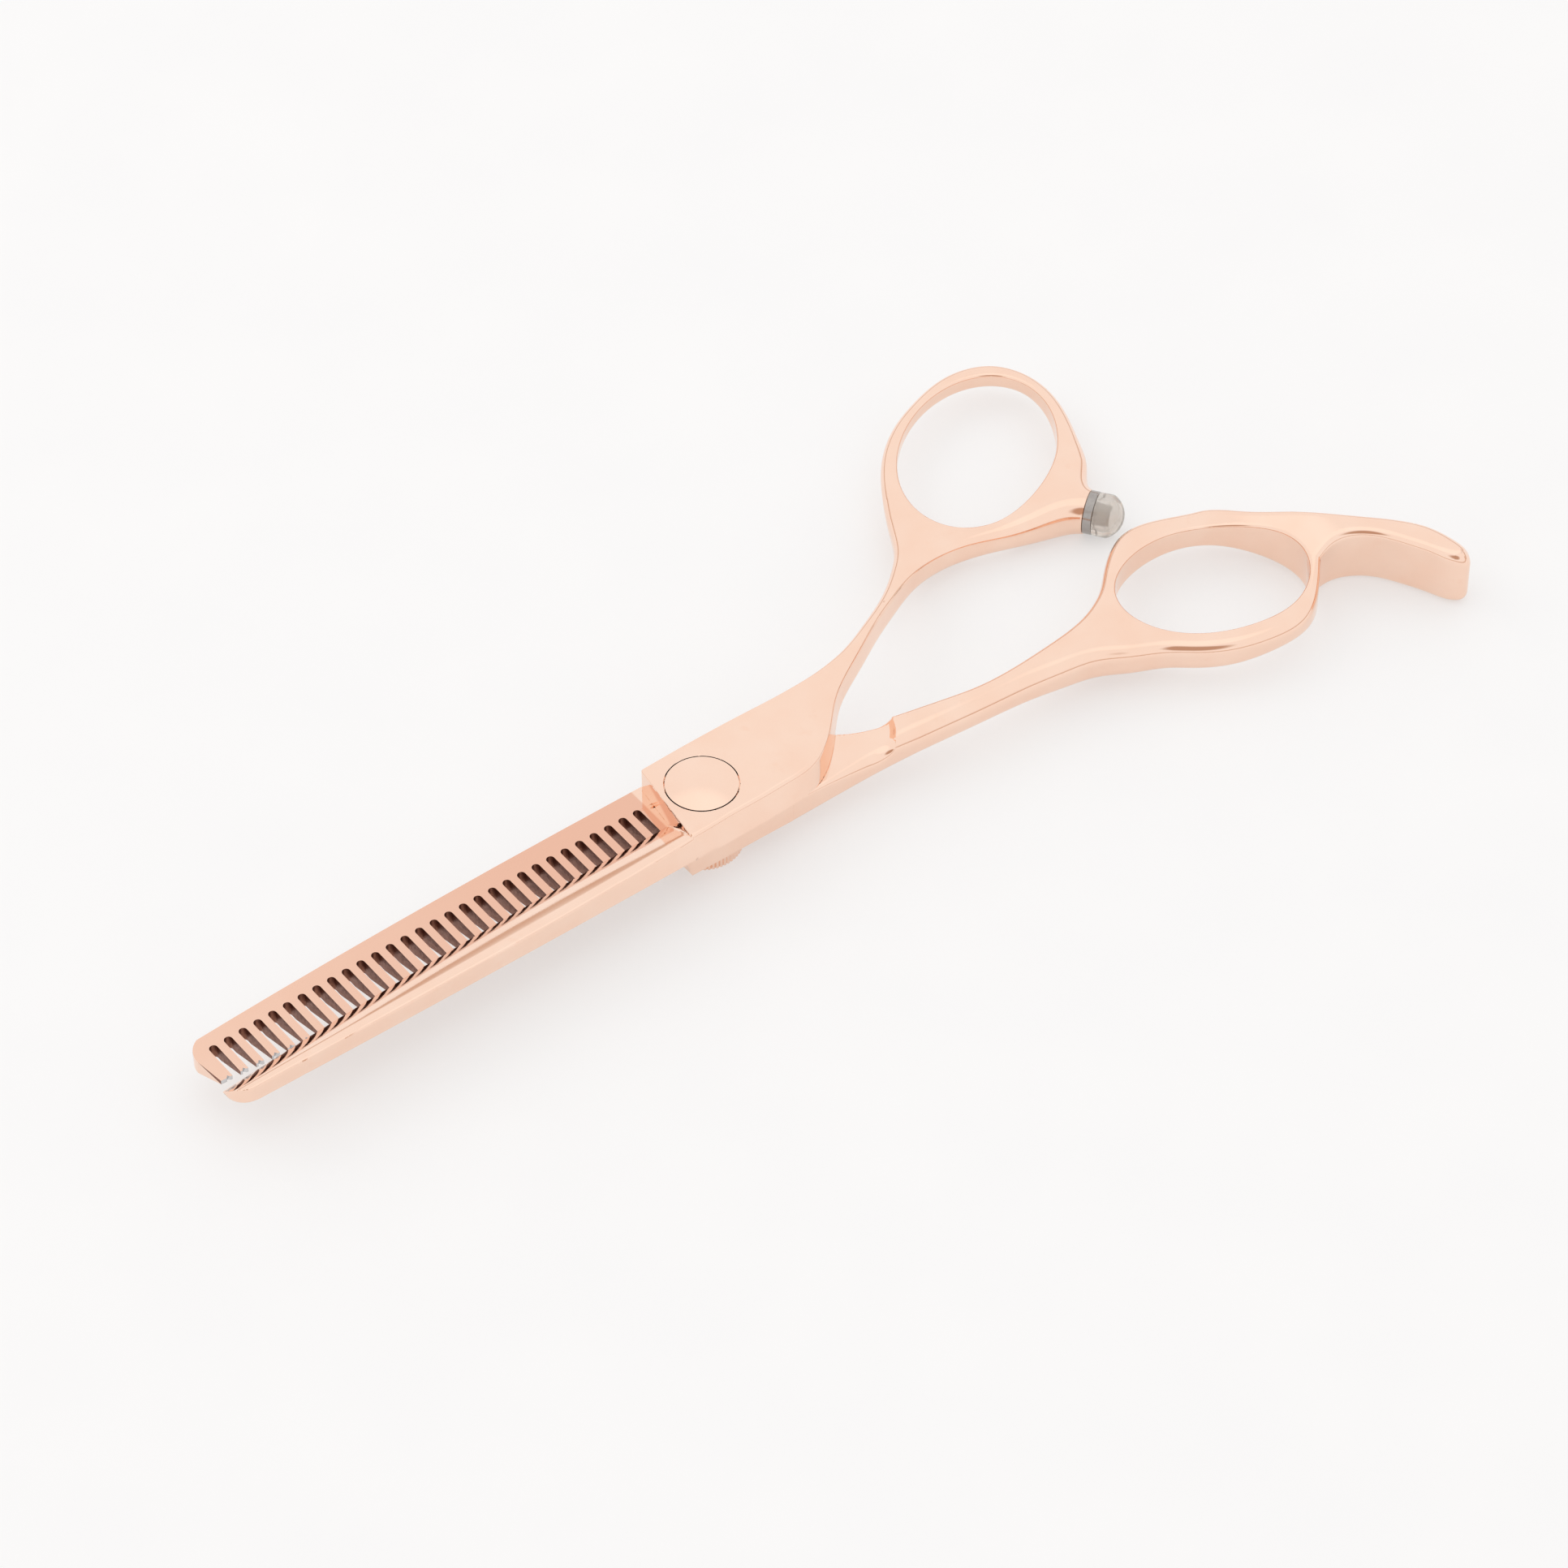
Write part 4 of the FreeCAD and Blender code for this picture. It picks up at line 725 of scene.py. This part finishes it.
def comb_face(face):
    """Which material a face of the toothed blade takes: coated, dark painted shade on a wall inside a slot, or
    ground steel at a tooth's tip.
    """
    x, y, _ = face.center / MM
    share = x / COMB_TIP_X
    tips = -(TIPS_ROOT + (TIPS_END - TIPS_ROOT) * share) - TIPS_SWELL * math.sin(math.pi * share)
    slots_end = BACK_ROOT - BACK_DROP * max(share, 0) ** BACK_POWER - BACK_WALL
    if not (COMB_TIP_X - 0.7 < x < COMB_ROOT_X and abs(face.normal.z) < 0.4 and y < slots_end):
        return ROSE_FACE
    if y < tips + 0.35 and face.normal.y < -0.3:
        return TIP_FACE
    # a wall inside a slot takes the dark painted shade
    return SLOT_SHADE_FACE if x > COMB_END_X else ROSE_FACE


comb_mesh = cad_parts["finger_blade"].data.copy()
comb_mesh.materials.clear()
cut = bmesh.new()
cut.from_mesh(comb_mesh)
bmesh.ops.remove_doubles(cut, verts=cut.verts, dist=WELD)
bmesh.ops.bisect_plane(cut, geom=cut.verts[:] + cut.edges[:] + cut.faces[:], plane_co=(COMB_CUT_X * MM, 0, 0),
                       plane_no=(1, 0, 0), clear_outer=True, dist=WELD)
cut.to_mesh(comb_mesh)
cut.free()
comb_mesh.shade_smooth()
comb_mesh.set_sharp_from_angle(angle=math.radians(25))
comb = link(bpy.data.objects.new("comb_blade", comb_mesh))
dress(comb, rose_comb_shaded, "coated_steel", "finger_half", "finger_blade")
# second slot: painted shade for the slot walls; third: ground steel of the tooth tips
comb_mesh.materials.append(slot_painted_shade)
comb_mesh.materials.append(ground_steel)
for face in comb_mesh.polygons:
    face.material_index = comb_face(face)

for name, made in (("pivot_screw", rose_head), ("tension_dial", rose_dial), ("retaining_screw", rose),
                   ("head_washer", plastic), ("pivot_bushing", plastic), ("ride_washer", plastic),
                   ("thrust_washer", plastic), ("disc_spring", spring), ("click_plate", spring)):
    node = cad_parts[name]
    node.data.materials.clear()
    node.data.materials.append(made)

# Bumper: a collar with a stud on each side, and a cap with a domed end over the outer stud.
COLLAR = 1.1
STUD_IN_R, STUD_IN = 1.0, 1.0
STUD_OUT_R, STUD_OUT = 1.3, 2.7
CHAMFER = 0.1
FIT = 0.02                 # clearance between the cap and the metal
CAP_LENGTH = 4.3
SHOULDER = 0.63 * CAP_LENGTH
DOME_Z = (CAP_LENGTH ** 2 - SHOULDER ** 2 - BUMPER_R ** 2) / (2 * (CAP_LENGTH - SHOULDER))
DOME_R = CAP_LENGTH - DOME_Z
seat_place = (Matrix.Translation(Vector((*SEAT, BUMPER_R)) * MM)
              @ Vector((*SEAT_WAY, 0)).to_track_quat("Z", "Y").to_matrix().to_4x4())
stud = lathe("bumper_stud_metal",
             [(0, -STUD_IN), (STUD_IN_R, -STUD_IN), (STUD_IN_R, 0), (BUMPER_R - CHAMFER, 0),
              (BUMPER_R, CHAMFER), (BUMPER_R, COLLAR - CHAMFER), (BUMPER_R - CHAMFER, COLLAR),
              (STUD_OUT_R, COLLAR), (STUD_OUT_R, STUD_OUT - CHAMFER), (STUD_OUT_R - CHAMFER, STUD_OUT),
              (0, STUD_OUT)], seat_place)
dress(stud, bright, "stud_metal", "thumb_half", "bumper_stud")
dome = [(DOME_R * math.sin(a), DOME_Z + DOME_R * math.cos(a))
        for a in np.linspace(math.asin(BUMPER_R / DOME_R), 0, 24)]
cap = lathe("bumper_cap",
            [(0, STUD_OUT + FIT), (STUD_OUT_R + FIT, STUD_OUT + FIT), (STUD_OUT_R + FIT, COLLAR + FIT),
             (BUMPER_R - 0.08, COLLAR + FIT), (BUMPER_R, COLLAR + CHAMFER)] + dome, seat_place)
dress(cap, smoky, "bumper_rubber", "thumb_half", "bumper")

# ---------------------------------------------------------------------------------------------
# Floor, light and camera
# ---------------------------------------------------------------------------------------------
FLOOR = 3000.0             # half of the floor's side, in millimetres
floor = mesh_object("floor", FLOOR * np.array([(-1, -1, 0), (1, -1, 0), (1, 1, 0), (-1, 1, 0)]),
                    np.array([(0, 1, 2, 3)]))
floor.data.materials.append(floor_card("pale_card"))

WHITE = (1.0, 0.995, 0.99, 1)
PANEL_WAY, PANEL = (0.05, 0.15, 1.0), (1.1, 1.095, 1.08, 1)          # bright ceiling panel
DIM_WAY, DIM = (-0.42, -0.55, 0.62), (0.55, 0.38, 0.29, 1)           # warm dim side of the room
UP, HORIZON = (0.0, 0.0, 1.0), (0.66, 0.48, 0.38, 1)                 # warm band low over the table


def studio_world():
    """White surround: a bright ceiling panel, a dim area where the camera stands, a softer far horizon."""
    made = bpy.data.worlds.new("studio")
    made.use_nodes = True
    tree = made.node_tree
    way = tree.nodes.new("ShaderNodeTexCoord").outputs["Generated"]

    def toward(direction, low, high):
        dot = tree.nodes.new("ShaderNodeVectorMath")
        dot.operation = "DOT_PRODUCT"
        dot.inputs[1].default_value = Vector(direction).normalized()
        tree.links.new(way, dot.inputs[0])
        node = add(tree, "ShaderNodeMapRange", From_Min=low, From_Max=high)
        node.interpolation_type = "SMOOTHSTEP"
        tree.links.new(dot.outputs["Value"], node.inputs["Value"])
        return node.outputs["Result"]

    colour = mix_colour(tree, toward(PANEL_WAY, 0.86, 0.95), WHITE, PANEL)
    colour = mix_colour(tree, toward(DIM_WAY, 0.90, 0.97), colour, DIM)
    colour = mix_colour(tree, toward(UP, 0.22, 0.0), colour, HORIZON)
    tree.links.new(colour, tree.nodes["Background"].inputs["Color"])
    return made


bpy.context.scene.world = studio_world()


# Softbox over the far side: place, aim and size in metres, power in watts.
BOX_PLACE, BOX_AIM = Vector((-0.45, 0.85, 0.75)), Vector((0.01, 0.0, 0.0))
BOX_SIZE, BOX_POWER = (0.7, 0.5), 1.2
light = bpy.data.lights.new("key_box", "AREA")
light.shape = "RECTANGLE"
light.size, light.size_y = BOX_SIZE
light.energy = BOX_POWER
key_box = link(bpy.data.objects.new("key_box", light))
key_box.location = BOX_PLACE
key_box.rotation_euler = (BOX_AIM - BOX_PLACE).to_track_quat("-Z", "Y").to_euler()
key_box.visible_glossy = False

CAMERA_PLACE, CAMERA_LOOK = Vector((-288.6, -397.2, 522.4)), Vector((0.4161, 0.5516, -0.7230))
CAMERA_LENS, CAMERA_SENSOR = 152.4, 36.0
camera_data = bpy.data.cameras.new("camera")
camera_data.lens, camera_data.sensor_width = CAMERA_LENS, CAMERA_SENSOR
camera_data.clip_start, camera_data.clip_end = 0.05, 20.0
camera = link(bpy.data.objects.new("camera", camera_data))
camera.location = CAMERA_PLACE * MM
camera.rotation_mode = "QUATERNION"
camera.rotation_quaternion = CAMERA_LOOK.to_track_quat("-Z", "Y")
bpy.context.scene.camera = camera
bpy.context.scene.view_settings.view_transform = "Standard"
